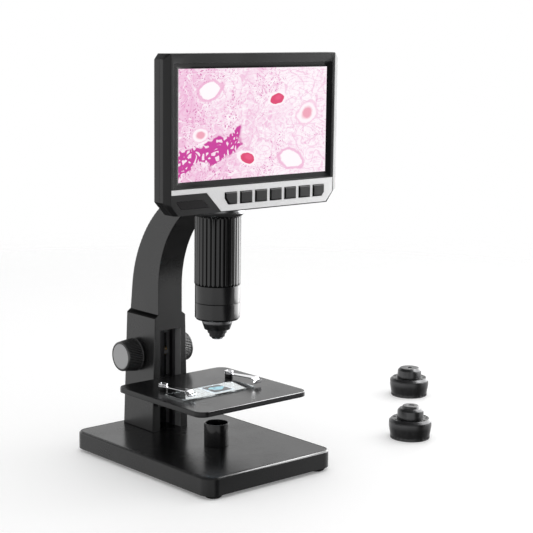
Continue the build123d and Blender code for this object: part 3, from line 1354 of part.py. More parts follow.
def make_lamp_cable():
    """Harness from the lamp board, through column and arm, to the main board."""
    z0 = lamp_board_top() - BOARD - LAMP_PLUG / 2
    y0 = OPTICAL_Y + LAMP_BOARD / 2
    hole = cable_hole_y()
    spine = hollow_front + 11.0
    bend = arm_bend
    z1 = cable_exit()
    arm_end = arm_cable_z()
    wall = housing_rear - HOUSING_WALL
    board = head_low + SENSOR_RISE + BOARD
    points = [(0, y0, z0), (0, y0 + 32, z0), (0.8, hole - 6, z0), (0, hole + 1, base_low + 11),
              (0, spine - 0.5, base_top + 6), (0, spine, base_top + 30), (0, spine + 0.3, bend - 20),
              (0, spine - 1.5, bend + 4), (0, spine - 13, bend + 30), (0, spine - 28, bend + 51),
              (0, spine - 45, bend + 66), (0, housing_rear + 13, arm_end - 4), (0, wall - 2.5, arm_end + 1.3),
              (0, wall - 6, arm_end + 8.6), (0, wall - 6.5, board + 3), (0, wall - 14, board + 10.5),
              (0, OPTICAL_Y - 10, z1 - 2), (0, housing_front + 9, z1), (0, board_back + 1.8, z1)]
    radii = corner_radii(points)
    path = FilletPolyline(*points, radius=radii)
    start = Plane(origin=path @ 0, z_dir=path % 0)
    tube = sweep(start * Circle(CABLE / 2), path=path)
    length = path.length
    area = math.pi * (CABLE / 2) ** 2
    print("lamp_cable radii", [round(r, 1) for r in radii], "length", round(length, 1))
    print("lamp_cable volume ratio", round(tube.volume / (length * area), 4))
    return tube


# ---------------------------------------------------------------- writing the nodes
def make_nodes():
    nodes = {
        "base_plate": make_base_plate(),
        "bottom_cover": make_bottom_cover(),
        "rubber_feet": make_rubber_feet(),
        "case_screws": make_case_screws(),
        "illuminator_tube": make_illuminator_tube(),
        "condenser_lens": make_condenser_lens(),
        "lamp_board": make_lamp_board(),
        "battery_pack": make_battery_pack(),
        "lamp_cable": make_lamp_cable(),
        "stand_casting": make_stand_casting(),
        "stand_rear_cover": make_stand_rear_cover(),
        "guide_rails": make_guide_rails(),
        "shaft_bushes": make_shaft_bushes(),
        "carriage": make_carriage(),
        "rack": make_rack(),
        "stage_bracket": make_stage_bracket(),
        "bracket_screws": make_bracket_screws(),
        "stage_plate": make_stage_plate(),
        "stage_window": make_stage_window(),
        "clip_posts": make_clip_posts(),
        "clip_left": make_clip(-1),
        "clip_right": make_clip(1),
        "glass_slide": make_glass_slide(),
        "cover_glass": make_cover_glass(),
        "pinion_shaft": make_pinion_shaft(),
        "knob_left": make_knob(-1),
        "knob_right": make_knob(1),
        "knob_discs": make_knob_discs(),
        "body_tube": make_body_tube(),
        "collar_ring": make_collar_ring(),
        "focus_sleeve": make_focus_sleeve(),
        "lens_carrier": make_lens_carrier(),
        "focus_lens": make_focus_lens(),
        "camera_housing": make_camera_housing(),
        "sensor_board": make_sensor_board(),
        "objective_shell": make_objective_shell(),
        "objective_face": make_objective_face(),
        "objective_nose": make_objective_nose(),
        "objective_lens": make_objective_lens(),
        "front_frame": make_front_frame(),
        "fascia_panel": make_fascia_panel(),
        "button_board": make_button_board(),
        "ir_window": make_ir_window(),
        "lcd_panel": make_lcd_panel(),
        "main_board": make_main_board(),
        "rear_cover": make_rear_cover(),
        "usb_port": make_usb_port(),
        "spare_a_shell": make_spare_shell(SPARE_A_PLACE),
        "spare_a_face": make_spare_face(SPARE_A_PLACE),
        "spare_a_nose": make_spare_nose(SPARE_A_PLACE, False),
        "spare_b_shell": make_spare_shell(SPARE_B_PLACE),
        "spare_b_face": make_spare_face(SPARE_B_PLACE),
        "spare_b_nose": make_spare_nose(SPARE_B_PLACE, True),
    }
    for k in range(KEY_COUNT):
        nodes[f"button_{k + 1}"] = make_button(k)
    return nodes


os.makedirs("parts", exist_ok=True)
for name, shape in make_nodes().items():
    export_step(shape, f"parts/{name}.step")
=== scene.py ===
import json
import math
from functools import cache

import bmesh
import bpy
from mathutils import Matrix, Vector


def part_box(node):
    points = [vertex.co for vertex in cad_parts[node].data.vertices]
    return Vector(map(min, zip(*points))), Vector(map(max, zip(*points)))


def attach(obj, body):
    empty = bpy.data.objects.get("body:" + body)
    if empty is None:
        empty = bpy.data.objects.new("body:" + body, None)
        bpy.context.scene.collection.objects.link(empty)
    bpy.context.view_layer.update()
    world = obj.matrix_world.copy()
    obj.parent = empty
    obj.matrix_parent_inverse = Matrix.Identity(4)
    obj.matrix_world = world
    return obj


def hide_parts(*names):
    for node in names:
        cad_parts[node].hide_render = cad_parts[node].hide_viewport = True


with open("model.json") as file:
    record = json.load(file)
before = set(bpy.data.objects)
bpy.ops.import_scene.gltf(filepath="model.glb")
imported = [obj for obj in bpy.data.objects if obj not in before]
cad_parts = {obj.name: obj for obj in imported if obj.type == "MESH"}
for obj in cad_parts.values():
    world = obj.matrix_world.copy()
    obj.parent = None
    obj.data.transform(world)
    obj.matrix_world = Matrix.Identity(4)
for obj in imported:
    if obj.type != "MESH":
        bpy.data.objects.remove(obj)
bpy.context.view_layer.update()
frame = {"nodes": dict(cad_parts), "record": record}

MM = 0.001
RECORD = frame["record"]
BODY_OF = {node: body for body, nodes in RECORD["behaviour"]["bodies"].items() for node in nodes}
OPTICAL_AXIS = Vector((0.0, -20.0))       # x and y of the barrel's axis, in millimetres
SHAFT = Vector((0.0, 68.6, 82.9))         # middle of the focus shaft, in millimetres
TINY = 1e-6


@cache
def low(node):
    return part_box(node)[0] / MM


@cache
def high(node):
    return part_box(node)[1] / MM


def middle(node):
    return (low(node) + high(node)) / 2


def clamped(value):
    return min(1.0, max(0.0, value))


# ---------------------------------------------------------------- node graphs
class Graph:
    """Short forms for building a material's nodes."""

    def __init__(self, name):
        self.material = bpy.data.materials.new(name)
        self.material.use_nodes = True
        self.tree = self.material.node_tree
        self.shader = self.tree.nodes["Principled BSDF"]
        self.place = self.add("ShaderNodeTexCoord").outputs["Object"]

    def add(self, kind, links=None, **settings):
        node = self.tree.nodes.new(kind)
        for key, value in settings.items():
            setattr(node, key, value)
        for key, value in (links or {}).items():
            self.put(node.inputs[key], value)
        return node

    def put(self, socket, value):
        if isinstance(value, bpy.types.NodeSocket):
            self.tree.links.new(value, socket)
        else:
            socket.default_value = value

    def set(self, **values):
        for key, value in values.items():
            self.put(self.shader.inputs[key.replace("_", " ")], value)

    def math(self, operation, a, b=0.0):
        return self.add("ShaderNodeMath", {0: a, 1: b}, operation=operation).outputs[0]

    def vector(self, operation, links):
        return self.add("ShaderNodeVectorMath", links, operation=operation).outputs

    def far(self, a, b):
        """Length of the vector (a, b)."""
        return self.math("SQRT", self.math("ADD", self.math("MULTIPLY", a, a), self.math("MULTIPLY", b, b)))

    def noise(self, scale, detail=3.0, rough=0.55, place=None):
        links = {"Vector": place or self.place, "Scale": scale, "Detail": detail, "Roughness": rough}
        return self.add("ShaderNodeTexNoise", links).outputs["Fac"]

    def sway(self, scale, detail, reach):
        """A noise about zero, half the reach to either side at most."""
        return self.math("MULTIPLY", self.math("SUBTRACT", self.noise(scale, detail), 0.5), reach)

    def cells(self, scale, feature="F1", place=None):
        links = {"Vector": place or self.place, "Scale": scale}
        return self.add("ShaderNodeTexVoronoi", links, feature=feature).outputs["Distance"]

    def stretch(self, x, y, z, turn=0.0):
        links = {"Vector": self.place, "Scale": (x, y, z), "Rotation": (0.0, turn, 0.0)}
        return self.add("ShaderNodeMapping", links).outputs["Vector"]

    def span(self, value, a, b, c=0.0, d=1.0, smooth=False):
        """value mapped from a..b to c..d, clamped."""
        kind = "SMOOTHSTEP" if smooth else "LINEAR"
        links = {"Value": value, "From Min": a, "From Max": b, "To Min": c, "To Max": d}
        return self.add("ShaderNodeMapRange", links, interpolation_type=kind).outputs["Result"]

    def mix(self, amount, a, b):
        node = self.add("ShaderNodeMix", data_type="RGBA")
        self.put(node.inputs["Factor"], amount)
        self.put(node.inputs["A"], a if isinstance(a, bpy.types.NodeSocket) else (*a, 1.0))
        self.put(node.inputs["B"], b if isinstance(b, bpy.types.NodeSocket) else (*b, 1.0))
        return node.outputs["Result"]

    def bump(self, height, strength, depth):
        links = {"Height": height, "Strength": strength, "Distance": depth * MM}
        return self.add("ShaderNodeBump", links).outputs["Normal"]

    def xyz(self):
        split = self.add("ShaderNodeSeparateXYZ", {"Vector": self.place})
        return split.outputs["X"], split.outputs["Y"], split.outputs["Z"]

    def edges(self):
        """1 on convex and concave edges, 0 on flat ground."""
        soft = self.add("ShaderNodeBevel", {"Radius": 0.5 * MM}, samples=4).outputs["Normal"]
        true = self.add("ShaderNodeNewGeometry").outputs["Normal"]
        return self.span(self.vector("DOT_PRODUCT", {0: soft, 1: true})["Value"], 0.995, 0.86)


def tinted(colour, factor):
    return tuple(min(1.0, channel * factor) for channel in colour)


def drifting(g, amount, colour, spread):
    """The colour, a little darker and lighter from place to place."""
    return g.mix(amount, tinted(colour, 1.0 - spread), tinted(colour, 1.0 + spread))


def coated(name, colour, rough, grain=0.35, grain_depth=0.02, specular=0.45):
    """Painted or moulded surface: fine grain, slow colour drift, and its edges painted lighter as a highlight."""
    g = Graph(name)
    drift = g.noise(38.0, 4.0)
    fine = g.noise(1.0 / (grain * MM), 2.0)
    # edges twice as light: a painted highlight along them
    g.set(Base_Color=g.mix(g.edges(), drifting(g, drift, colour, 0.15), tinted(colour, 2.0)))
    slow_rough = g.span(drift, 0.3, 0.7, rough - 0.04, rough + 0.04)
    g.set(Roughness=g.math("ADD", slow_rough, g.span(fine, 0.3, 0.7, -0.03, 0.03)), Specular_IOR_Level=specular)
    g.set(Normal=g.bump(fine, 0.5, grain_depth))
    return g.material


def metal(name, colour, rough, grain=0.25, grain_depth=0.01, turned=False):
    """Metal with fine grain; turned pieces have rings about the focus shaft."""
    g = Graph(name)
    drift = g.noise(60.0, 3.0)
    fine = g.noise(1.0 / (grain * MM), 2.0)
    g.set(Base_Color=drifting(g, drift, colour, 0.06), Metallic=1.0)
    g.set(Roughness=g.span(fine, 0.3, 0.7, max(0.02, rough - 0.05), rough + 0.05))
    height = fine
    if turned:
        _, y, z = g.xyz()
        radius = g.far(g.math("SUBTRACT", y, SHAFT.y * MM), g.math("SUBTRACT", z, SHAFT.z * MM))
        ring_pitch = 0.28 * MM
        rings = g.math("SINE", g.math("MULTIPLY", radius, 2 * math.pi / ring_pitch))
        height = g.math("ADD", fine, g.math("MULTIPLY", rings, 0.3))
    g.set(Normal=g.bump(height, 0.4, grain_depth))
    return g.material


def silver_paint(name, colour):
    """Metallic silver paint with a fine sparkle."""
    g = Graph(name)
    drift = g.noise(30.0, 3.0)
    flakes = g.noise(2400.0, 2.0, 0.6)
    ground = g.mix(drift, tinted(colour, 0.96), tinted(colour, 1.03))
    g.set(Base_Color=g.mix(g.span(flakes, 0.35, 0.7), tinted(colour, 0.86), ground), Metallic=0.25)
    g.set(Roughness=g.span(flakes, 0.3, 0.7, 0.34, 0.46), Normal=g.bump(flakes, 0.4, 0.01))
    return g.material


def clear_glass(name, tint, rough=0.02, ior=1.5, mirror=0.0):
    """Glass with faint smudges; mirror is the share that shines like metal."""
    g = Graph(name)
    smudge = g.noise(90.0, 4.0)
    g.set(Base_Color=(*tint, 1.0), Roughness=g.span(smudge, 0.35, 0.75, rough, rough + 0.04), IOR=ior)
    g.set(Transmission_Weight=1.0, Metallic=mirror)
    return g.material


def circuit_board(name, colour):
    """Solder-masked board with faint copper tracks."""
    g = Graph(name)
    tracks = g.cells(380.0, "DISTANCE_TO_EDGE")
    copper = g.span(tracks, 0.05, 0.09, 1.0, 0.0)
    g.set(Base_Color=g.mix(copper, colour, tinted(colour, 1.7)), Normal=g.bump(copper, 0.4, 0.03))
    g.set(Roughness=g.span(tracks, 0.0, 0.3, 0.32, 0.45))
    return g.material


def sleeved_cell(name, colour):
    """Battery in a wrinkled plastic sleeve."""
    g = Graph(name)
    wrinkles = g.noise(240.0, 5.0)
    g.set(Base_Color=g.mix(wrinkles, tinted(colour, 0.8), tinted(colour, 1.25)))
    g.set(Roughness=g.span(wrinkles, 0.3, 0.7, 0.25, 0.4), Normal=g.bump(wrinkles, 0.5, 0.08))
    return g.material


def frosted(name):
    """Ground glass with a painted glow: bluish emission in place of the lamp under it."""
    g = Graph(name)
    fine = g.noise(2600.0, 2.0)
    g.set(Base_Color=g.mix(fine, (0.62, 0.7, 0.74), (0.74, 0.8, 0.83)), Normal=g.bump(fine, 0.5, 0.02))
    g.set(Roughness=g.span(fine, 0.3, 0.7, 0.45, 0.6), Transmission_Weight=0.25)
    # painted glow: the window emits light though it is no lamp
    g.set(Emission_Color=(0.55, 0.78, 1.0, 1.0), Emission_Strength=0.45)
    return g.material


# the section on the screen: places and sizes in half widths of its picture, as (u, v, size, flatness, turn)
PICTURE_HALF = 77.1
OPEN_SPACES = ((-0.6, 0.34, 0.15, 0.6, 0.3), (0.5, -0.4, 0.17, 0.55, -0.2))
RED_BODIES = ((0.3, 0.24, 0.1, 0.55, 0.25), (-0.1, -0.36, 0.11, 0.5, -0.3))
PALE_BODIES = ((0.72, 0.08, 0.12, 0.8, 0.4), (-0.72, -0.1, 0.09, 0.7, 0.0))
HALO = (1.0, 0.93, 0.97)


def picture(name):
    """Lit screen: a made-up stained section with its own layout."""
    g = Graph(name)
    x, _, z = g.xyz()
    u = g.math("DIVIDE", x, PICTURE_HALF * MM)
    v = g.math("DIVIDE", g.math("SUBTRACT", z, middle("lcd_panel").z * MM), PICTURE_HALF * MM)
    bend = g.add("ShaderNodeTexNoise", {"Vector": g.place, "Scale": 34.0, "Detail": 3.0}).outputs["Color"]
    shift = g.vector("SUBTRACT", {0: bend, 1: (0.5, 0.5, 0.5)})[0]
    shift = g.vector("SCALE", {0: shift, "Scale": 0.03})[0]
    loose = g.vector("ADD", {0: g.place, 1: shift})[0]

    def strands(scale, count, width, place):
        """Thin winding lines along the level curves of a noise."""
        levels = g.math("FRACT", g.math("MULTIPLY", g.noise(scale, 2.0, 0.5, place), count))
        return g.span(g.math("ABSOLUTE", g.math("SUBTRACT", levels, 0.5)), width, width * 0.4)

    def turned(a, b, cosine, sine):
        return g.math("ADD", g.math("MULTIPLY", a, cosine), g.math("MULTIPLY", b, sine))

    def oval(at_u, at_v, size, flat, turn, inner, outer):
        """1 inside a ragged oval, falling to 0 between two shares of its size."""
        du = g.math("SUBTRACT", u, at_u)
        dv = g.math("SUBTRACT", v, at_v)
        along = turned(du, dv, math.cos(turn), math.sin(turn))
        across = g.math("DIVIDE", turned(du, dv, -math.sin(turn), math.cos(turn)), flat)
        ragged = g.math("ADD", g.far(along, across), g.sway(90.0, 3.0, size * 0.9))
        return g.span(ragged, size * inner, size * outer, 1.0, 0.0)

    def lay(amount, under, colour, share):
        return g.mix(g.math("MULTIPLY", amount, share), under, colour)

    # pale ground, pinker to the left, with winding fibres
    side = g.span(g.math("ADD", u, g.math("MULTIPLY", g.noise(20.0, 3.0), 1.4)), 0.1, 1.35)
    ground = g.mix(side, (0.9, 0.6, 0.77), (0.985, 0.88, 0.945))
    clouds = g.span(g.noise(36.0, 5.0, 0.62, loose), 0.44, 0.6)
    ground = lay(clouds, ground, (1.0, 0.945, 0.98), 0.75)
    slanted = g.stretch(1.0, 1.0, 2.6, 0.45)
    ground = lay(strands(17.0, 16.0, 0.1, loose), ground, (0.8, 0.33, 0.58), 0.4)
    ground = lay(strands(15.0, 26.0, 0.13, slanted), ground, (0.86, 0.42, 0.66), 0.4)
    ground = lay(strands(26.0, 9.0, 0.09, slanted), ground, (1.0, 0.975, 0.99), 0.7)
    speckle = g.span(g.noise(330.0, 3.0, 0.7), 0.52, 0.64)
    ground = lay(speckle, ground, (0.84, 0.42, 0.66), 0.4)

    # dark nuclei, crowded on the left
    crowd = g.span(g.math("SUBTRACT", g.noise(30.0, 3.0), g.math("MULTIPLY", u, 0.1)), 0.47, 0.56)
    for scale, size, share in ((480.0, 0.2, 0.75), (300.0, 0.15, 0.9)):
        dots = g.span(g.cells(scale, place=loose), size, size * 1.35, 1.0, 0.0)
        ground = lay(g.math("MULTIPLY", dots, crowd), ground, (0.6, 0.08, 0.36), share)

    # open spaces with a wavy rim
    for at_u, at_v, size, *form in OPEN_SPACES:
        ground = lay(oval(at_u, at_v, size * 1.25, *form, 0.88, 1.0), ground, (0.86, 0.45, 0.66), 0.8)
        ground = lay(oval(at_u, at_v, size, *form, 0.85, 0.95), ground, (1.0, 0.97, 0.99), 0.95)

    # a lacy band of crowded cells, rising from the lower left
    waves = g.math("MULTIPLY", g.math("SINE", g.math("MULTIPLY", u, 5.0)), 0.09)
    path = g.math("ADD", g.math("MULTIPLY", u, 0.55), waves)
    away = g.math("ABSOLUTE", g.math("SUBTRACT", g.math("SUBTRACT", v, path), 0.06))
    band = g.span(g.math("ADD", away, g.sway(60.0, 3.0, 0.3)), 0.12, 0.1)
    end = g.span(g.math("ADD", u, g.sway(26.0, 4.0, 0.9)), -0.16, -0.22)
    band = g.math("MULTIPLY", band, end)
    lace = g.span(g.cells(210.0, "DISTANCE_TO_EDGE", loose), 0.24, 0.19)
    ground = lay(band, ground, (0.98, 0.8, 0.9), 0.7)
    ground = lay(g.math("MULTIPLY", band, lace), ground, (0.58, 0.02, 0.31), 0.95)

    # round bodies: two deep red, two pale
    for at_u, at_v, size, *form in RED_BODIES:
        ground = lay(oval(at_u, at_v, size * 1.35, *form, 0.86, 1.0), ground, HALO, 0.9)
        ground = lay(oval(at_u, at_v, size, *form, 0.86, 0.95), ground, (0.72, 0.03, 0.14), 0.95)
        ground = lay(oval(at_u + 0.012, at_v + 0.01, size * 0.6, *form, 0.4, 1.0), ground, (0.86, 0.12, 0.26), 0.7)
    for at_u, at_v, size, *form in PALE_BODIES:
        ground = lay(oval(at_u, at_v, size * 1.4, *form, 0.86, 1.0), ground, (0.92, 0.6, 0.76), 0.8)
        ground = lay(oval(at_u, at_v, size * 1.15, *form, 0.86, 1.0), ground, HALO, 0.95)
        ground = lay(oval(at_u, at_v, size * 0.75, *form, 0.6, 1.0), ground, (0.85, 0.3, 0.42), 0.85)

    g.set(Base_Color=(0.01, 0.01, 0.012, 1.0), Roughness=g.span(clouds, 0.0, 1.0, 0.16, 0.2))
    g.set(Emission_Color=ground, Emission_Strength=1.0, Specular_IOR_Level=0.1)
    return g.material


def stained_smear(name):
    """Dyed specimen: watery cyan with a darker curl."""
    g = Graph(name)
    x, y, _ = g.xyz()
    cloud = g.noise(190.0, 5.0)
    cx = g.math("SUBTRACT", x, 1.5 * MM)
    cy = g.math("SUBTRACT", y, (OPTICAL_AXIS.y - 1.0) * MM)
    loop = g.span(cloud, 0.3, 0.7, 3.6 * MM, 5.0 * MM)
    away = g.math("ABSOLUTE", g.math("SUBTRACT", g.far(cx, cy), loop))
    curl = g.span(away, 0.5 * MM, 1.3 * MM, 1.0, 0.0)
    colour = g.mix(cloud, (0.28, 0.72, 0.86), (0.5, 0.86, 0.93))
    g.set(Base_Color=g.mix(g.math("MULTIPLY", curl, 0.75), colour, (0.05, 0.3, 0.42)))
    g.set(Roughness=g.span(cloud, 0.3, 0.7, 0.3, 0.45), Specular_IOR_Level=0.4)
    return g.material


# coated() and metal() are given colour, roughness, size and depth of the grain in mm, and the specular level
MATERIALS = {
    "black_paint": coated("stand_paint", (0.012, 0.012, 0.0125), 0.3, 0.4, 0.015, 0.6),
    "base_paint": coated("base_paint", (0.006, 0.006, 0.0065), 0.24, 0.45, 0.02, 0.38),
    "stage_paint": coated("stage_paint", (0.006, 0.006, 0.0065), 0.23, 0.45, 0.02, 0.38),
    "black_plastic": coated("body_plastic", (0.007, 0.007, 0.008), 0.32, 0.4, 0.015),
    "knob_plastic": coated("knob_plastic", (0.035, 0.035, 0.036), 0.26, 0.5, 0.006, 0.9),
    # painted shade: near-black, rough and hardly glossy, laid in grooves, on the keys' lower left sides and on the
    # arm's ledge
    "groove": coated("painted_shade_black", (0.003, 0.003, 0.003), 0.6, 0.5, 0.01, 0.1),
    "rim_gloss": coated("rim_gloss", (0.008, 0.008, 0.0085), 0.1, 0.6, 0.003, 1.0),
    "collar_gloss": metal("collar_gloss", (0.3, 0.3, 0.305), 0.2, 0.4, 0.004),
    "slot_gray": coated("slot_gray", (0.24, 0.24, 0.245), 0.4, 0.4, 0.015),
    "barrel_plastic": coated("barrel_plastic", (0.004, 0.004, 0.0045), 0.17, 0.4, 0.008, 0.65),
    "gloss_barrel": coated("lower_barrel", (0.005, 0.005, 0.0055), 0.18, 0.5, 0.005, 0.6),
    "gloss_black": coated("gloss_plastic", (0.006, 0.006, 0.0065), 0.14, 0.6, 0.004, 0.5),
    "nose_black": metal("nose_finish", (0.2, 0.2, 0.205), 0.27, 0.4, 0.006),
    "spare_black": metal("spare_finish", (0.09, 0.09, 0.092), 0.3, 0.4, 0.006),
    "frame_plastic": coated("frame_plastic", (0.0085, 0.0085, 0.009), 0.36, 0.35, 0.012, 0.5),
    "key_plastic": coated("key_plastic", (0.013, 0.013, 0.0135), 0.42, 0.3, 0.05),
    "rubber": coated("rubber", (0.012, 0.012, 0.012), 0.7, 0.5, 0.05, 0.2),
    "cable": coated("cable_jacket", (0.01, 0.01, 0.01), 0.55, 0.6, 0.03, 0.3),
    "silver_trim": silver_paint("silver_trim", (0.86, 0.86, 0.865)),
    "disc_metal": metal("disc_metal", (0.36, 0.36, 0.365), 0.36, 0.3, 0.02, turned=True),
    "steel": metal("steel", (0.5, 0.5, 0.52), 0.3),
    "chrome": metal("chrome", (0.82, 0.82, 0.84), 0.07, 0.8, 0.003),
    "brass": metal("brass", (0.55, 0.4, 0.2), 0.3),
    "machined": metal("machined", (0.12, 0.12, 0.125), 0.36),
    "clear_glass": clear_glass("clear_glass", (0.9, 0.95, 0.96)),
    "slide_glass": clear_glass("slide_glass", (0.9, 0.94, 0.95), 0.01, 1.7, 0.35),
    "frosted_glass": frosted("frosted_glass"),
    "screen": picture("screen_picture"),
    "ir_plastic": coated("ir_plastic", (0.004, 0.003, 0.004), 0.14, 0.8, 0.002, 0.5),
    "board": circuit_board("circuit_board", (0.02, 0.16, 0.07)),
    "cell": sleeved_cell("battery_sleeve", (0.03, 0.1, 0.32)),
    "smear": stained_smear("specimen_stain"),
}


# ---------------------------------------------------------------- mesh helpers
SMOOTH_ANGLE = math.radians(38.0)
SHARP_ANGLE = math.radians(25.0)
FLAT_ANGLE = math.radians(0.6)


def shade(bm):
    """Smooth faces, with the sharper edges kept."""
    for face in bm.faces:
        face.smooth = True
    for edge in bm.edges:
        edge.smooth = len(edge.link_faces) == 2 and edge.calc_face_angle(0.0) < SMOOTH_ANGLE


def skin(bm, a, b):
    """Faces between two closed rings of as many vertices."""
    for i in range(len(a)):
        j = (i + 1) % len(a)
        bm.faces.new((a[i], a[j], b[j], b[i]))


def merged(parts):
    """One bmesh of several."""
    bm = bmesh.new()
    for part in parts:
        mesh = bpy.data.meshes.new("part")
        part.to_mesh(mesh)
        part.free()
        bm.from_mesh(mesh)
        bpy.data.meshes.remove(mesh)
    return bm


def piece(name, bm, material, nodes, body=None, weighted=False, second=None, where=None):
    """Turns a bmesh into a piece that rides on a body and stands for CAD nodes.

    Further materials go on the faces for which where(centre, normal) gives their place, counted from 1.
    """
    further = (second,) if isinstance(second, str) else second or ()
    bmesh.ops.recalc_face_normals(bm, faces=bm.faces)
    shade(bm)
    if further:
        bm.normal_update()
        for face in bm.faces:
            face.material_index = int(where(face.calc_center_median() / MM, face.normal))
    mesh = bpy.data.meshes.new(name)
    bm.to_mesh(mesh)
    bm.free()
    obj = bpy.data.objects.new(name, mesh)
    bpy.context.scene.collection.objects.link(obj)
    for finish in (material, *further):
        obj.data.materials.append(MATERIALS[finish])
    if weighted:
        modifier = obj.modifiers.new("even_normals", "WEIGHTED_NORMAL")
        modifier.keep_sharp = True
    nodes = [nodes] if isinstance(nodes, str) else list(nodes)
    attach(obj, body or BODY_OF[nodes[0]])
    if nodes:
        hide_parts(*nodes)
    return obj


def own_form(node, cuts_x=(), cuts_z=()):
    """The CAD node's mesh with its flat faces in one piece, cut at the given places so that none keeps a hole."""
    bm = bmesh.new()
    bm.from_mesh(frame["nodes"][node].data)
    bmesh.ops.remove_doubles(bm, verts=bm.verts, dist=2e-6)
    planes = [(Vector((x * MM, 0, 0)), Vector((1, 0, 0))) for x in cuts_x]
    planes += [(Vector((0, 0, z * MM)), Vector((0, 0, 1))) for z in cuts_z]
    for point, normal in planes:
        geometry = list(bm.verts) + list(bm.edges) + list(bm.faces)
        cut = bmesh.ops.bisect_plane(bm, geom=geometry, dist=1e-6, plane_co=point, plane_no=normal)["geom_cut"]
        for edge in cut:
            if isinstance(edge, bmesh.types.BMEdge):
                edge.seam = True
    bmesh.ops.dissolve_limit(bm, angle_limit=FLAT_ANGLE, verts=bm.verts, edges=bm.edges, delimit={"SEAM"})
    return bm


def bevelled(bm, width, segments, chosen):
    """Rounds the sharp edges, or those of them for which chosen(middle, edge) is true."""
    sharp = [e for e in bm.edges if len(e.link_faces) == 2 and e.calc_face_angle(0.0) > SHARP_ANGLE]
    if chosen:
        sharp = [e for e in sharp if chosen((e.verts[0].co + e.verts[1].co) / 2 / MM, e)]
    bmesh.ops.bevel(bm, geom=sharp, offset=width * MM, offset_type="OFFSET", segments=segments, profile=0.5,
                    affect="EDGES", clamp_overlap=False)


def dress(node, material, width=0.3, segments=2, cuts_x=(), cuts_z=(), chosen=None, second=None, where=None):
    """The CAD node's own form with its sharp edges rounded; a width of 0 leaves the edges."""
    bm = own_form(node, cuts_x, cuts_z)
    if width:
        bevelled(bm, width, segments, chosen)
    return piece(node + "_shell", bm, material, node, weighted=True, second=second, where=where)


def curve(before, here, after, cut, steps):
    """Points of a round corner that starts and ends at a distance from it."""
    start = here + before.normalized() * cut
    end = here + after.normalized() * cut
    shares = [k / steps for k in range(steps + 1)]
    return [start * (1 - t) ** 2 + here * 2 * t * (1 - t) + end * t * t for t in shares]


def soften(profile, radius=0.4, steps=3):
    """Rounds the corners of a closed (radius, height) profile."""
    rounded = []
    count = len(profile)
    for i, corner in enumerate(profile):
        here = Vector(corner)
        before = Vector(profile[i - 1]) - here
        after = Vector(profile[(i + 1) % count]) - here
        opening = before.angle(after, math.pi)
        if here.x < TINY or opening > math.radians(168):
            rounded.append(here)
            continue
        cut = min(radius / math.tan(opening / 2), 0.45 * before.length, 0.45 * after.length)
        rounded += curve(before, here, after, cut, steps)
    return rounded


def round_bends(points, radius, steps=6):
    """Rounds the inner corners of an open path in two dimensions."""
    path = [Vector(points[0])]
    for a, b, c in zip(points, points[1:], points[2:]):
        here = Vector(b)
        before = Vector(a) - here
        after = Vector(c) - here
        half_turn = (math.pi - before.angle(after)) / 2
        cut = min(radius * math.tan(half_turn), 0.45 * before.length, 0.45 * after.length)
        path += curve(before, here, after, cut, steps)
    path.append(Vector(points[-1]))
    return path


def lathe(profile, x=0.0, y=OPTICAL_AXIS.y, z=0.0, count=144, warp=None, sideways=0):
    """Turned mesh of a closed (radius, height) profile in millimetres, upright or along X.

    warp(radius, height, turn) gives the radius at a place; sideways is the sign of X that heights run along.
    """
    bm = bmesh.new()
    rings = []
    for k in range(count):
        turn = 2 * math.pi * k / count
        ring = []
        for r, h in profile:
            radius = warp(r, h, turn) if warp else r
            a = radius * math.cos(turn)
            b = radius * math.sin(turn)
            place = (sideways * h, y + a, z + b) if sideways else (x + a, y + b, z + h)
            ring.append(bm.verts.new(Vector(place) * MM))
        rings.append(ring)
    for ring, after in zip(rings, rings[1:] + rings[:1]):
        for i in range(len(profile)):
            j = (i + 1) % len(profile)
            on_axis = profile[i][0] < TINY and profile[j][0] < TINY
            if not on_axis:
                bm.faces.new((ring[i], ring[j], after[j], after[i]))
    bmesh.ops.remove_doubles(bm, verts=bm.verts, dist=1e-8)
    return bm


def rounded_ring(half_x, half_y, corner, z, y=0.0, steps=12):
    """Points round a rectangle with round corners, the same number for any size."""
    corner = max(corner, 0.05)
    points = []
    for turn0, sx, sy in ((0, 1, 1), (90, -1, 1), (180, -1, -1), (270, 1, -1)):
        for k in range(steps + 1):
            turn = math.radians(turn0 + 90 * k / steps)
            points.append(Vector((sx * (half_x - corner) + corner * math.cos(turn),
                                  y + sy * (half_y - corner) + corner * math.sin(turn), z)))
    return points


def hole_ring(ring, radius, z, y):
    """Circle with one point for each point of a rounded ring."""
    points = []
    for point in ring:
        turn = math.atan2(point.y - y, point.x)
        points.append(Vector((radius * math.cos(turn), y + radius * math.sin(turn), z)))
    return points


def stacked(rings):
    """Skin through a row of closed rings."""
    bm = bmesh.new()
    rows = [[bm.verts.new(point * MM) for point in ring] for ring in rings]
    for a, b in zip(rows, rows[1:]):
        skin(bm, a, b)
    bmesh.ops.remove_doubles(bm, verts=bm.verts, dist=1e-8)
    return bm


def slab(half_x, half_y, corner, y, profile, hole_y, hole_radius, bottom):
    """Plate from an (inset, height) profile of its rim, with a round hole through it."""
    rings = [rounded_ring(half_x - inset, half_y - inset, corner - inset, z, y) for inset, z in profile]
    top = profile[-1][1]
    rings.append(hole_ring(rings[-1], hole_radius, top, hole_y))
    rings.append(hole_ring(rings[-2], hole_radius, bottom, hole_y))
    rings.append(rings[0])
    return stacked(rings)


def soft_line(points, radius):
    """An open (inset, height) profile with its inner corners rounded."""
    return [(p.x, p.y) for p in round_bends(points, radius, 3)]


def on_rim(at, normal):
    """Whether a face belongs to the slanted rim of a plate."""
    return 0.35 < normal.z < 0.94


# ---------------------------------------------------------------- base
BASE_CORNER = 11.0
BASE_HOLE = 7.0            # under the illuminator's tube
BASE_WALL = 3.0
FOOT_RADIUS = 7.0
FOOT_HEIGHT = 3.0


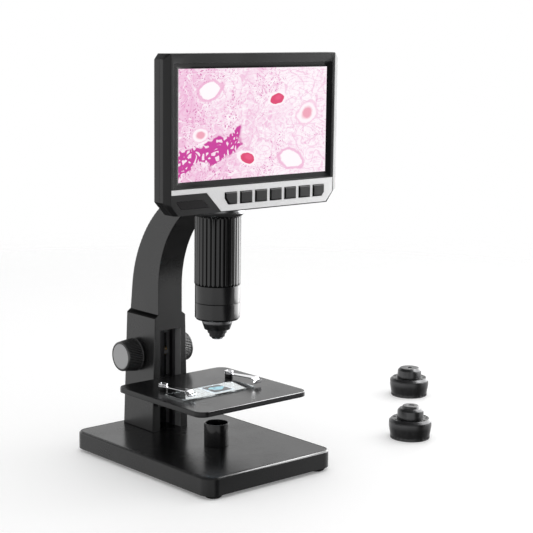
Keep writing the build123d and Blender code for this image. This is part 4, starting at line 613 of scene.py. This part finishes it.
def build_base():
    box_high = high("base_plate")
    top = box_high.z
    chamfer = 1.3
    line_floor = top - 0.6
    rim = [(0.0, low("base_plate").z), (0.0, top - chamfer), (chamfer, top), (1.9, top), (1.9, line_floor),
           (2.5, line_floor), (2.5, top), (4.0, top)]
    bm = slab(box_high.x, box_high.y, BASE_CORNER, 0.0, soft_line(rim, 0.22), OPTICAL_AXIS.y, BASE_HOLE,
              top - BASE_WALL)
    piece("base_casting", bm, "base_paint", "base_plate", second="rim_gloss", where=on_rim)
    dress("bottom_cover", "black_plastic", 0.3)

    outer = high("illuminator_tube").x
    inner = outer - 1.0
    seat = outer - 2.2
    seat_rise = 6.0
    height = high("illuminator_tube").z - top
    profile = [(seat, 0), (outer, 0), (outer, height), (inner, height), (inner, seat_rise), (seat, seat_rise)]
    piece("illuminator_barrel", lathe(soften(profile, 0.3), z=top), "gloss_black", "illuminator_tube")

    r = high("condenser_lens").x
    edge = 1.0
    bulge = 1.55
    turns = [math.pi / 2 * k / 12 for k in range(1, 12)]
    dome = [(0, 0), (r, 0), (r, edge)] + [(r * math.cos(t), edge + bulge * math.sin(t)) for t in turns]
    dome.append((0, edge + bulge))
    piece("condenser_dome", lathe(dome, z=low("condenser_lens").z), "clear_glass", "condenser_lens")

    r = FOOT_RADIUS
    foot = soften([(0, 0), (r - 1.2, 0), (r, 1.0), (r, FOOT_HEIGHT), (0, FOOT_HEIGHT)], 0.5)
    box_low = low("rubber_feet")
    box_high = high("rubber_feet")
    places = [(x, y) for x in (box_low.x + r, box_high.x - r) for y in (box_low.y + r, box_high.y - r)]
    piece("feet", merged(lathe(foot, x=x, y=y, count=64) for x, y in places), "rubber", "rubber_feet")


# ---------------------------------------------------------------- stand
RIB_HALF_SPREAD = 11.5     # the ribs behind the rails lie within this distance of the middle


def build_stand():
    rib_front = low("guide_rails").y + 10.8
    ledge_low = SHAFT.z + 15.0
    ledge_high = SHAFT.z + 60.0

    def rib_or_ledge(at, normal):
        """1 on the fronts of the ribs in the slot, 2 on the ledge where the arm rises from the column, which gets
        painted shade.
        """
        on_rib = abs(at.x) < RIB_HALF_SPREAD and abs(at.y - rib_front) < 1.05 and normal.x < 0.5
        if on_rib and at.z > SHAFT.z - 3.0:
            return 1
        return 2 if ledge_low < at.z < ledge_high and normal.z > 0.3 else 0

    dress("stand_casting", "black_paint", 0, second=("slot_gray", "groove"), where=rib_or_ledge)
    dress("stand_rear_cover", "black_plastic", 0)
    dress("guide_rails", "machined", 0.15)
    dress("carriage", "machined", 0.25)
    dress("rack", "machined", 0.08)
    rear = high("camera_housing").y - 0.3
    dress("camera_housing", "black_plastic", 0.2,
          chosen=lambda at, edge: on_shell(at, "camera_housing", 0.3) or at.y > rear)


# ---------------------------------------------------------------- focus drive
RIBS_ON_KNOB = 56
KNOB_INNER = 20.2          # the knob's inner and outer end, from the middle of the shaft
KNOB_OUTER = 35.5
KNOB_RADIUS_INNER = 14.6
KNOB_RADIUS_OUTER = 12.8
KNOB_RECESS = 11.2         # radius of the recess for the disc
KNOB_RIB_DEPTH = 0.45
SHAFT_HOLE = 3.1
HUB_RADIUS = 7.0
HUB_START = 19.2


def build_knobs():
    inner, outer = KNOB_INNER, KNOB_OUTER
    rib_low = inner + 1.2
    rib_high = outer - 1.6
    rib_reach = 12.0           # radii below this are not ribbed

    def ribbed(r, h, turn):
        if r < rib_reach or not rib_low - 0.01 <= h <= rib_high + 0.01:
            return r
        wave = 0.5 - 0.5 * math.cos(turn * RIBS_ON_KNOB)
        return r - KNOB_RIB_DEPTH * wave ** 1.5

    def side(h):
        return KNOB_RADIUS_INNER + (KNOB_RADIUS_OUTER - KNOB_RADIUS_INNER) * (h - inner) / (outer - inner)

    hub = [(SHAFT_HOLE, HUB_START), (HUB_RADIUS, HUB_START), (HUB_RADIUS, inner), (side(inner), inner)]
    profile = soften(hub, 0.3)[:-4]
    profile += [(side(inner) - 0.7, inner), (side(inner) - 0.2, inner + 0.15), (side(inner), inner + 0.6)]
    heights = (rib_low - 0.15, rib_low, inner + 4, inner + 8, inner + 12, rib_high, rib_high + 0.15)
    profile += [(side(h), h) for h in heights]
    profile += [(side(outer - 0.9), outer - 0.9), (side(outer) - 0.25, outer - 0.3), (side(outer) - 0.8, outer)]
    floor = outer - 1.2
    profile += [(KNOB_RECESS + 0.15, outer), (KNOB_RECESS, outer - 0.15), (KNOB_RECESS, floor), (SHAFT_HOLE, floor)]

    # the grooves between the ribs get painted shade
    def in_groove(at, normal):
        away = math.hypot(at.y - SHAFT.y, at.z - SHAFT.z)
        return rib_low < abs(at.x) < rib_high and rib_reach < away < side(abs(at.x)) - 0.2

    for sign, node in ((-1, "knob_left"), (1, "knob_right")):
        bm = lathe(profile, y=SHAFT.y, z=SHAFT.z, count=RIBS_ON_KNOB * 8, warp=ribbed, sideways=sign)
        piece(node + "_ribbed", bm, "knob_plastic", node, second="groove", where=in_groove)
    dress("knob_discs", "disc_metal", 0.2)


# ---------------------------------------------------------------- stage
STAGE_CORNER = 9.0
STAGE_HOLE = 15.2
CAP_RADIUS = 3.9           # the posts of the clips: cap, neck and foot
CAP_HEIGHT = 1.8
NECK_RADIUS = 2.0
POST_FOOT_RADIUS = 3.6
POST_FOOT_HEIGHT = 3.4
POST_ROOT = 4.5            # how far a post reaches into the plate
CLIP_RUN = 34.0            # from the post to the clip's crest


def build_stage():
    plate_low = low("stage_plate")
    plate_high = high("stage_plate")
    centre_y = (plate_low.y + plate_high.y) / 2
    bottom = plate_low.z
    level = plate_high.z
    rim = [(0.6, bottom), (0.0, bottom + 0.3), (0.0, level - 0.5), (0.5, level), (2.0, level)]
    bm = slab(plate_high.x, plate_high.y - centre_y, STAGE_CORNER, centre_y, soft_line(rim, 0.25), OPTICAL_AXIS.y,
              STAGE_HOLE, bottom)
    piece("stage_casting", bm, "stage_paint", "stage_plate", second="rim_gloss", where=on_rim)
    dress("stage_window", "frosted_glass", 0.15)
    dress("stage_bracket", "black_paint", 0.3)

    box_high = high("clip_posts")
    box_low = low("clip_posts")
    place_x = box_high.x - CAP_RADIUS
    place_y = (box_high.y + box_low.y) / 2
    top = box_high.z - level
    under = top - CAP_HEIGHT
    dimple = top - 0.35
    pillar = [(0, -POST_ROOT), (NECK_RADIUS, -POST_ROOT), (NECK_RADIUS, 0), (POST_FOOT_RADIUS, 0),
              (POST_FOOT_RADIUS, POST_FOOT_HEIGHT), (NECK_RADIUS, POST_FOOT_HEIGHT), (NECK_RADIUS, under), (0, under)]
    cap = [(0, under), (CAP_RADIUS, under), (CAP_RADIUS, top), (2.2, top), (2.0, dimple), (0, dimple)]
    for name, profile, material in (("clip_pillars", pillar, "gloss_black"), ("clip_caps", cap, "chrome")):
        soft = soften(profile, 0.35, 4)
        parts = [lathe(soft, x=x, y=place_y, z=level, count=72) for x in (-place_x, place_x)]
        piece(name, merged(parts), material, "clip_posts")
    for sign, node in ((-1, "clip_left"), (1, "clip_right")):
        piece(node + "_spring", spring_strip(node, sign * place_x, place_y), "chrome", node)


def spring_strip(node, x, post_y):
    """Bent spring strip with a round eye at the post and rounded long edges."""
    box_low = low(node)
    box_high = high(node)
    thick = 0.8
    crest = box_high.z - thick
    level = crest - 2.4
    bend = post_y - CLIP_RUN
    dip = bend - 3.5
    tail = box_low.y
    tip = 1.3
    eye = box_high.y - post_y
    half_wide = (box_high.x - box_low.x) / 2
    half_at_post = 2.25
    corners = [(box_high.y, level), (post_y - eye, level), (bend, crest), (dip, box_low.z), (tail, level + 1.6)]
    path = round_bends(corners, 1.2)
    eye_end = [path[0].lerp(path[1], t) for t in (0.0, 0.004, 0.012, 0.025, 0.045)]
    dense = []
    for a, b in zip(path, path[1:]):
        parts = max(1, int((b - a).length / 1.2))
        dense += [a.lerp(b, k / parts) for k in range(1, parts + 1)]
    dense = sorted(eye_end + dense, key=lambda p: -p.x)

    def half_width(y):
        straight = half_at_post + (half_wide - half_at_post) * clamped((post_y - y) / CLIP_RUN)
        if y > post_y - eye + 0.9:
            return max(0.15, math.sqrt(max(0.0, eye ** 2 - (y - post_y) ** 2)))
        if y < tail + tip:
            return straight - tip + math.sqrt(max(0.0, tip ** 2 - (tail + tip - y) ** 2))
        return straight

    def section(half):
        """Rounded rectangle across the strip, from its underside up."""
        soft = 0.3
        ring = []
        for cx, cz, start in ((half - soft, thick - soft, 0), (soft - half, thick - soft, 90),
                              (soft - half, soft, 180), (half - soft, soft, 270)):
            for k in range(4):
                turn = math.radians(start + 30 * k)
                ring.append((cx + soft * math.cos(turn), cz + soft * math.sin(turn)))
        return ring

    bm = bmesh.new()
    rings = []
    for point in dense:
        half = max(0.35, half_width(point.x))
        rings.append([bm.verts.new(Vector((x + sx, point.x, point.y + sz)) * MM) for sx, sz in section(half)])
    for a, b in zip(rings, rings[1:]):
        skin(bm, a, b)
    bm.faces.new(rings[0])
    bm.faces.new(rings[-1][::-1])
    bmesh.ops.remove_doubles(bm, verts=bm.verts, dist=1e-7)
    return bm


def build_specimen():
    dress("glass_slide", "slide_glass", 0.12)
    dress("cover_glass", "clear_glass", 0.03, 1)
    level = high("glass_slide").z + 0.02
    thick = 0.08
    centre_y = OPTICAL_AXIS.y
    steps = 72
    rim = []
    for k in range(steps):
        turn = 2 * math.pi * k / steps
        r = 6.4 + 0.9 * math.sin(3 * turn + 0.6) + 0.4 * math.sin(7 * turn) + 0.2 * math.sin(13 * turn + 1.0)
        rim.append((1.15 * r * math.cos(turn), centre_y + 0.8 * r * math.sin(turn)))
    bm = bmesh.new()
    lower = [bm.verts.new(Vector((x, y, level)) * MM) for x, y in rim]
    upper = [bm.verts.new(Vector((x * 0.96, centre_y + (y - centre_y) * 0.96, level + thick)) * MM) for x, y in rim]
    skin(bm, lower, upper)
    bm.faces.new(upper)
    bm.faces.new(lower[::-1])
    smear = piece("specimen_smear", bm, "smear", [], body="specimen")


# ---------------------------------------------------------------- barrel
SLEEVE_RIBS = 32
RIB_DEPTH = 0.8
RIB_ROUND_END = 1.7
RIB_CROWN = 0.14           # how much lower a rib is at its sides
TUBE_BORE = 14.9
TUBE_NECK = 16.9           # the tube's radius inside the ribbed ring
TUBE_SEAT = 16.6           # the socket for the objective, and its depth
TUBE_SEAT_DEPTH = 6.3
COLLAR_BORE = 16.95
OBJECTIVE_SPIGOT = 16.3
OBJECTIVE_BORE = 14.3
FACE_THICK = 2.0
NOSE_BACK = 12.0
NOSE_BORE = 2.4
NOSE_STEPS = [(13.0, 0), (12.6, 3.6), (10.7, 9.0), (8.4, 9.0), (7.9, 12.2), (6.9, 12.2), (6.4, 15.4), (5.3, 15.4),
              (4.3, 17.2)]       # radius and height below the objective's face
NOSE_MOUTH = [(3.2, 17.2), (NOSE_BORE, 16.4)]


def build_barrel():
    sleeve_low = low("focus_sleeve").z
    sleeve_high = high("focus_sleeve").z
    outer = high("focus_sleeve").x
    inner = outer - 2.1
    core = outer - RIB_DEPTH
    pitch = 2 * math.pi * outer / SLEEVE_RIBS
    rib_half = 0.36 * pitch

    def ribbed(r, h, turn):
        if r < core + 0.02:
            return r
        phase = (turn * SLEEVE_RIBS / (2 * math.pi)) % 1.0 - 0.5
        away = abs(phase) * pitch
        rise = clamped((h - sleeve_low) / RIB_ROUND_END)
        half = rib_half * math.sqrt(1.0 - (1.0 - rise) ** 2)
        edge = clamped((half - away) / 0.42 + 0.5)
        edge = edge * edge * (3 - 2 * edge)
        crown = RIB_CROWN * (away / rib_half) ** 2 if away < 0.4 * pitch else RIB_CROWN
        return core + (r - core - crown * clamped(r - core)) * edge

    # the grooves between the ribs get painted shade
    def in_groove(at, normal):
        return math.hypot(at.x, at.y - OPTICAL_AXIS.y) < core + 0.2 and at.z < sleeve_high - 1.0

    rises = (0.0, 0.12, 0.3, 0.55, 0.85, 1.2, 1.6, 1.9)
    rows = [sleeve_low + rise for rise in rises] + [sleeve_high - 0.9]
    profile = [(inner, sleeve_low), (core, sleeve_low)]
    profile += [(outer, h) for h in rows]
    profile += [(outer - 0.25, sleeve_high - 0.3), (outer - 0.5, sleeve_high), (inner, sleeve_high)]
    bm = lathe(profile, count=SLEEVE_RIBS * 16, warp=ribbed)
    piece("focus_grip", bm, "barrel_plastic", "focus_sleeve", second="groove", where=in_groove)

    bottom = low("body_tube").z
    tube_top = high("body_tube").z
    r = high("body_tube").x
    shoulder = sleeve_low - 0.3
    seat_top = bottom + TUBE_SEAT_DEPTH
    profile = [(TUBE_SEAT, bottom), (r - 0.3, bottom), (r, bottom + 0.3), (r, shoulder - 0.5), (r - 0.5, shoulder),
               (TUBE_NECK, shoulder), (TUBE_NECK, tube_top), (TUBE_BORE, tube_top), (TUBE_BORE, seat_top),
               (TUBE_SEAT, seat_top)]
    piece("lower_barrel", lathe(soften(profile, 0.2), count=192), "gloss_barrel", "body_tube")

    bottom = low("collar_ring").z
    h = high("collar_ring").z - bottom
    r = high("collar_ring").x
    bowl = [(COLLAR_BORE, 0), (19.9, 0), (20.5, 0.35), (21.4, 1.3), (22.1, 2.5), (r, 4.3), (r, h - 0.6), (r - 0.4, h),
            (COLLAR_BORE, h)]
    piece("collar_bowl", lathe(soften(bowl, 0.5, 4), z=bottom, count=192), "collar_gloss", "collar_ring")


def build_objective():
    bottom = low("objective_shell").z
    spigot_top = high("objective_shell").z
    r = high("objective_shell").x
    top = low("body_tube").z - 0.05
    rim = r - 1.2
    inner = r - 1.6
    lip = bottom + 2.2
    shelf = top - 2.0
    profile = [(rim - 0.1, bottom), (rim, bottom), (r, bottom + 1.6), (r, top - 0.3), (r - 0.3, top),
               (OBJECTIVE_SPIGOT, top), (OBJECTIVE_SPIGOT, spigot_top), (OBJECTIVE_BORE, spigot_top),
               (OBJECTIVE_BORE, shelf), (inner, shelf), (inner, lip), (rim - 0.1, lip)]
    piece("objective_body", lathe(soften(profile, 0.2), count=192), "gloss_barrel", "objective_shell")
    dress("objective_face", "barrel_plastic", 0.12)
    face = high("objective_nose").z - FACE_THICK
    nose = [(NOSE_BORE, -FACE_THICK), (NOSE_BACK, -FACE_THICK), (NOSE_BACK, 0)] + NOSE_STEPS + NOSE_MOUTH
    nose = [(radius, face - drop) for radius, drop in nose]
    piece("objective_cone", lathe(soften(nose, 0.3, 4), count=144), "nose_black", "objective_nose")


# bosses of the spares, as radius and height over the face: flat with a hole, and stepped with a closed disc
SPARE_BACK = [(11.2, -FACE_THICK), (11.2, 0)]
SPARE_STEPS = [(12.2, 0), (11.7, 7.6), (10.0, 9.4)]
SPARE_ENDS = {
    "a": [(9.4, 10.0), (2.4, 10.0), (2.2, 9.7), (2.2, -FACE_THICK)],
    "b": [(8.0, 9.6), (7.2, 11.8), (3.1, 11.8), (2.9, 11.3), (0, 11.2), (0, -FACE_THICK)],
}


def build_spares():
    for letter, end in SPARE_ENDS.items():
        dress(f"spare_{letter}_shell", "spare_black", 0.18, 2)
        dress(f"spare_{letter}_face", "barrel_plastic", 0.15)
        node = f"spare_{letter}_nose"
        box_low = low(node)
        box_high = high(node)
        x = (box_low.x + box_high.x) / 2
        y = (box_low.y + box_high.y) / 2
        profile = soften(SPARE_BACK + SPARE_STEPS + end, 0.45, 4)
        piece(node + "_turned", lathe(profile, x=x, y=y, z=box_low.z + FACE_THICK, count=144), "spare_black", node)


# ---------------------------------------------------------------- screen head
FACE_INSET = 5.4           # from the head's side to its front face
FACE_CUT_X = 7.2           # the cut corners of the front face
FACE_CUT_Z = 9.0
SIDE_CUT = 10.4            # the cut lower corners of the sides, and their slope
SIDE_SLOPE = 0.926
WINDOW_HALF = 83.0
KEY_MARGIN = 4.0


def on_shell(at, node, wall):
    """Whether a place is on the outside of a boxy shell, not deeper than its wall."""
    away = [at.x - low(node).x, high(node).x - at.x, at.z - low(node).z, high(node).z - at.z]
    return min(away) < wall


def build_head():
    keys = [middle(f"button_{k}").x for k in range(1, 8)]
    posts = [keys[0] - KEY_MARGIN, keys[6] + KEY_MARGIN]
    remote = middle("ir_window").x
    panel_front = low("lcd_panel").y + 0.9
    frame_low = low("front_frame")
    half = high("front_frame").x
    face_half = half - FACE_INSET
    sill = high("fascia_panel").z + 0.5

    def outer(at, edge):
        """The head's outer edges and the picture's window; not the recesses of the trim, keys and remote window."""
        x = abs(at.x)
        rise = at.z - frame_low.z
        if at.y < frame_low.y + 0.1:
            corner = (face_half - x) / FACE_CUT_X + rise / FACE_CUT_Z
            return at.z > sill or x > face_half - 0.2 or rise < 0.2 or abs(corner - 1) < 0.06
        on_window = at.y < panel_front and at.z > sill
        return on_window or on_shell(at, "front_frame", 0.4) or half - x + SIDE_SLOPE * rise < SIDE_CUT

    def window_slope(at, normal):
        in_window = at.z > sill and at.y > frame_low.y + 0.2 and abs(at.x) < WINDOW_HALF
        return in_window and -0.985 < normal.y < -0.9

    def in_shade(at, normal):
        """The left and lower sides of a key, painted dark as shade."""
        return normal.y > -0.9 and normal.x + normal.z < 0.2

    def behind(at, normal):
        return normal.y > -0.5

    dress("front_frame", "frame_plastic", 0.3, 2, cuts_x=keys + posts + [remote], chosen=outer,
          second="gloss_black", where=window_slope)
    dress("rear_cover", "black_plastic", 0.35, 2, cuts_z=[middle("usb_port").z])
    dress("fascia_panel", "silver_trim", 0.12, 2, cuts_x=keys)
    dress("ir_window", "ir_plastic", 0.12)
    for k in range(1, 8):
        dress(f"button_{k}", "key_plastic", 0.25, 2, second="groove", where=in_shade)
    dress("lcd_panel", "screen", 0.05, 1, second="machined", where=behind)
    dress("usb_port", "steel", 0.08)


# ---------------------------------------------------------------- what keeps its CAD form
KEPT = {
    "case_screws": "steel", "bracket_screws": "steel", "lamp_board": "board", "battery_pack": "cell",
    "lamp_cable": "cable", "shaft_bushes": "brass", "pinion_shaft": "steel", "sensor_board": "board",
    "lens_carrier": "machined", "focus_lens": "clear_glass", "objective_lens": "clear_glass",
    "button_board": "board", "main_board": "board",
}


def paint_kept_nodes():
    for node, material in KEPT.items():
        obj = frame["nodes"][node]
        obj.data.materials.clear()
        obj.data.materials.append(MATERIALS[material])


# ---------------------------------------------------------------- camera, lights, floor
CAMERA_PLACE = Vector((-770.42, -949.5, 374.01)) * MM
CAMERA_YAW = math.radians(41.577)
CAMERA_PITCH = math.radians(9.556)
CAMERA_ROLL = math.radians(0.69)
CAMERA_LENS = 99.7
SENSOR_WIDTH = 36.0
SKY_FILL = 0.84            # the world's strength for soft light
DARK_ROOM = 0.06           # what gloss sees of the studio's dark strip and of its floor
DARK_WAY = Vector((0.242, -0.970))     # the way to the dark strip
FRONT_WALL = 0.8           # what gloss sees on the camera's side
DARK_CEILING = 0.15        # and above
WHITE = (1.0, 1.0, 1.0, 1.0)
FLOOR_REACH = 1.6
FLOOR_LEVEL = -0.00005
FLOOR_LIFT = 0.17          # what the camera sees on top of the floor's own light

# name, place, aim, width, height, radiance, and the rays that don't see it
LAMPS = (
    ("side_fill", (1.4, -0.3, 0.9), (0.0, 0.0, 0.1), 0.6, 0.6, 2.2, "visible_glossy"),
    ("top_fill", (0.25, 0.1, 1.6), (0.0, 0.0, 0.1), 1.1, 1.1, 0.9, "visible_glossy"),
    ("tall_box", (0.52, -0.07, 0.345), (0.0, -0.02, 0.33), 0.58, 0.68, 4.3, "visible_diffuse"),
    ("high_strip", (0.82, -0.21, 1.05), (0.0, 0.0, 0.06), 0.4, 0.4, 9.0, "visible_diffuse"),
)


def build_camera():
    yaw, pitch, roll = CAMERA_YAW, CAMERA_PITCH, CAMERA_ROLL
    ahead = Vector((math.sin(yaw) * math.cos(pitch), math.cos(yaw) * math.cos(pitch), -math.sin(pitch)))
    right = Vector((math.cos(yaw), -math.sin(yaw), 0.0))
    up = right.cross(ahead)
    turned_right = right * math.cos(roll) + up * math.sin(roll)
    turned_up = up * math.cos(roll) - right * math.sin(roll)
    data = bpy.data.cameras.new("camera")
    data.lens = CAMERA_LENS
    data.sensor_width = SENSOR_WIDTH
    data.clip_end = 20.0
    camera = bpy.data.objects.new("camera", data)
    bpy.context.scene.collection.objects.link(camera)
    rotation = Matrix((turned_right, turned_up, -ahead)).transposed().to_4x4()
    camera.matrix_world = Matrix.Translation(CAMERA_PLACE) @ rotation
    bpy.context.scene.camera = camera


def build_lights():
    for name, place, aim, width, height, radiance, unseen_by in LAMPS:
        data = bpy.data.lights.new(name, "AREA")
        data.shape = "RECTANGLE"
        data.size = width
        data.size_y = height
        data.energy = radiance * width * height * math.pi
        light = bpy.data.objects.new(name, data)
        bpy.context.scene.collection.objects.link(light)
        light.location = place
        light.rotation_euler = (Vector(aim) - Vector(place)).to_track_quat("-Z", "Y").to_euler()
        light.visible_camera = False
        setattr(light, unseen_by, False)


class WorldGraph(Graph):
    """The same short forms for the world's nodes."""

    def __init__(self, name):
        self.world = bpy.data.worlds.new(name)
        self.world.use_nodes = True
        self.tree = self.world.node_tree
        self.tree.nodes.clear()
        self.place = self.add("ShaderNodeTexCoord").outputs["Generated"]


def build_world():
    """White for the camera and through glass.

    Gloss sees white too, but for a dark strip, a dimmer wall in front, and a dark ceiling and floor.
    """
    g = WorldGraph("studio")
    x, y, z = g.xyz()
    path = g.add("ShaderNodeLightPath").outputs
    towards = g.math("ADD", g.math("MULTIPLY", x, DARK_WAY.x), g.math("MULTIPLY", y, DARK_WAY.y))
    room = g.span(towards, 0.85, 0.97, 1.0, DARK_ROOM, smooth=True)
    front = g.span(y, -0.1, -0.6, 1.0, FRONT_WALL, smooth=True)
    ceiling = g.span(z, 0.35, 0.65, 1.0, DARK_CEILING, smooth=True)
    ground = g.span(z, -0.28, -0.48, 1.0, DARK_ROOM, smooth=True)
    room = g.math("MULTIPLY", g.math("MULTIPLY", room, front), g.math("MULTIPLY", ceiling, ground))
    gloss = g.math("MULTIPLY", room, path["Is Glossy Ray"])
    seen = g.math("MAXIMUM", path["Is Camera Ray"], path["Is Transmission Ray"])
    other = g.math("SUBTRACT", 1.0, g.math("MAXIMUM", seen, path["Is Glossy Ray"]))
    strength = g.math("ADD", g.math("ADD", seen, gloss), g.math("MULTIPLY", other, SKY_FILL))
    background = g.add("ShaderNodeBackground", {"Color": WHITE, "Strength": strength})
    g.add("ShaderNodeOutputWorld", {"Surface": background.outputs[0]})
    bpy.context.scene.world = g.world


def build_floor():
    """Pale floor that keeps the object's shadow and fades into the white sweep further out."""
    bm = bmesh.new()
    corners = ((-1, -1), (1, -1), (1, 1), (-1, 1))
    bm.faces.new([bm.verts.new((x * FLOOR_REACH, y * FLOOR_REACH, FLOOR_LEVEL)) for x, y in corners])
    mesh = bpy.data.meshes.new("floor")
    bm.to_mesh(mesh)
    bm.free()
    floor = bpy.data.objects.new("floor", mesh)
    bpy.context.scene.collection.objects.link(floor)
    floor.visible_glossy = False
    g = Graph("floor_white")
    speck = g.noise(900.0, 2.0)
    g.set(Base_Color=g.mix(speck, (0.86, 0.86, 0.86), (0.88, 0.88, 0.88)), Roughness=0.6, Specular_IOR_Level=0.1)
    seen = g.add("ShaderNodeLightPath").outputs["Is Camera Ray"]
    g.set(Emission_Color=WHITE, Emission_Strength=g.math("MULTIPLY", seen, FLOOR_LIFT))
    away = g.vector("LENGTH", {0: g.place})["Value"]
    g.set(Alpha=g.span(away, 0.75, 1.4, 1.0, 0.0, smooth=True))
    mesh.materials.append(g.material)


bpy.context.scene.view_settings.view_transform = "Standard"
build_camera()
build_world()
build_lights()
build_floor()
build_base()
build_stand()
build_knobs()
build_stage()
build_specimen()
build_barrel()
build_objective()
build_spares()
build_head()
paint_kept_nodes()
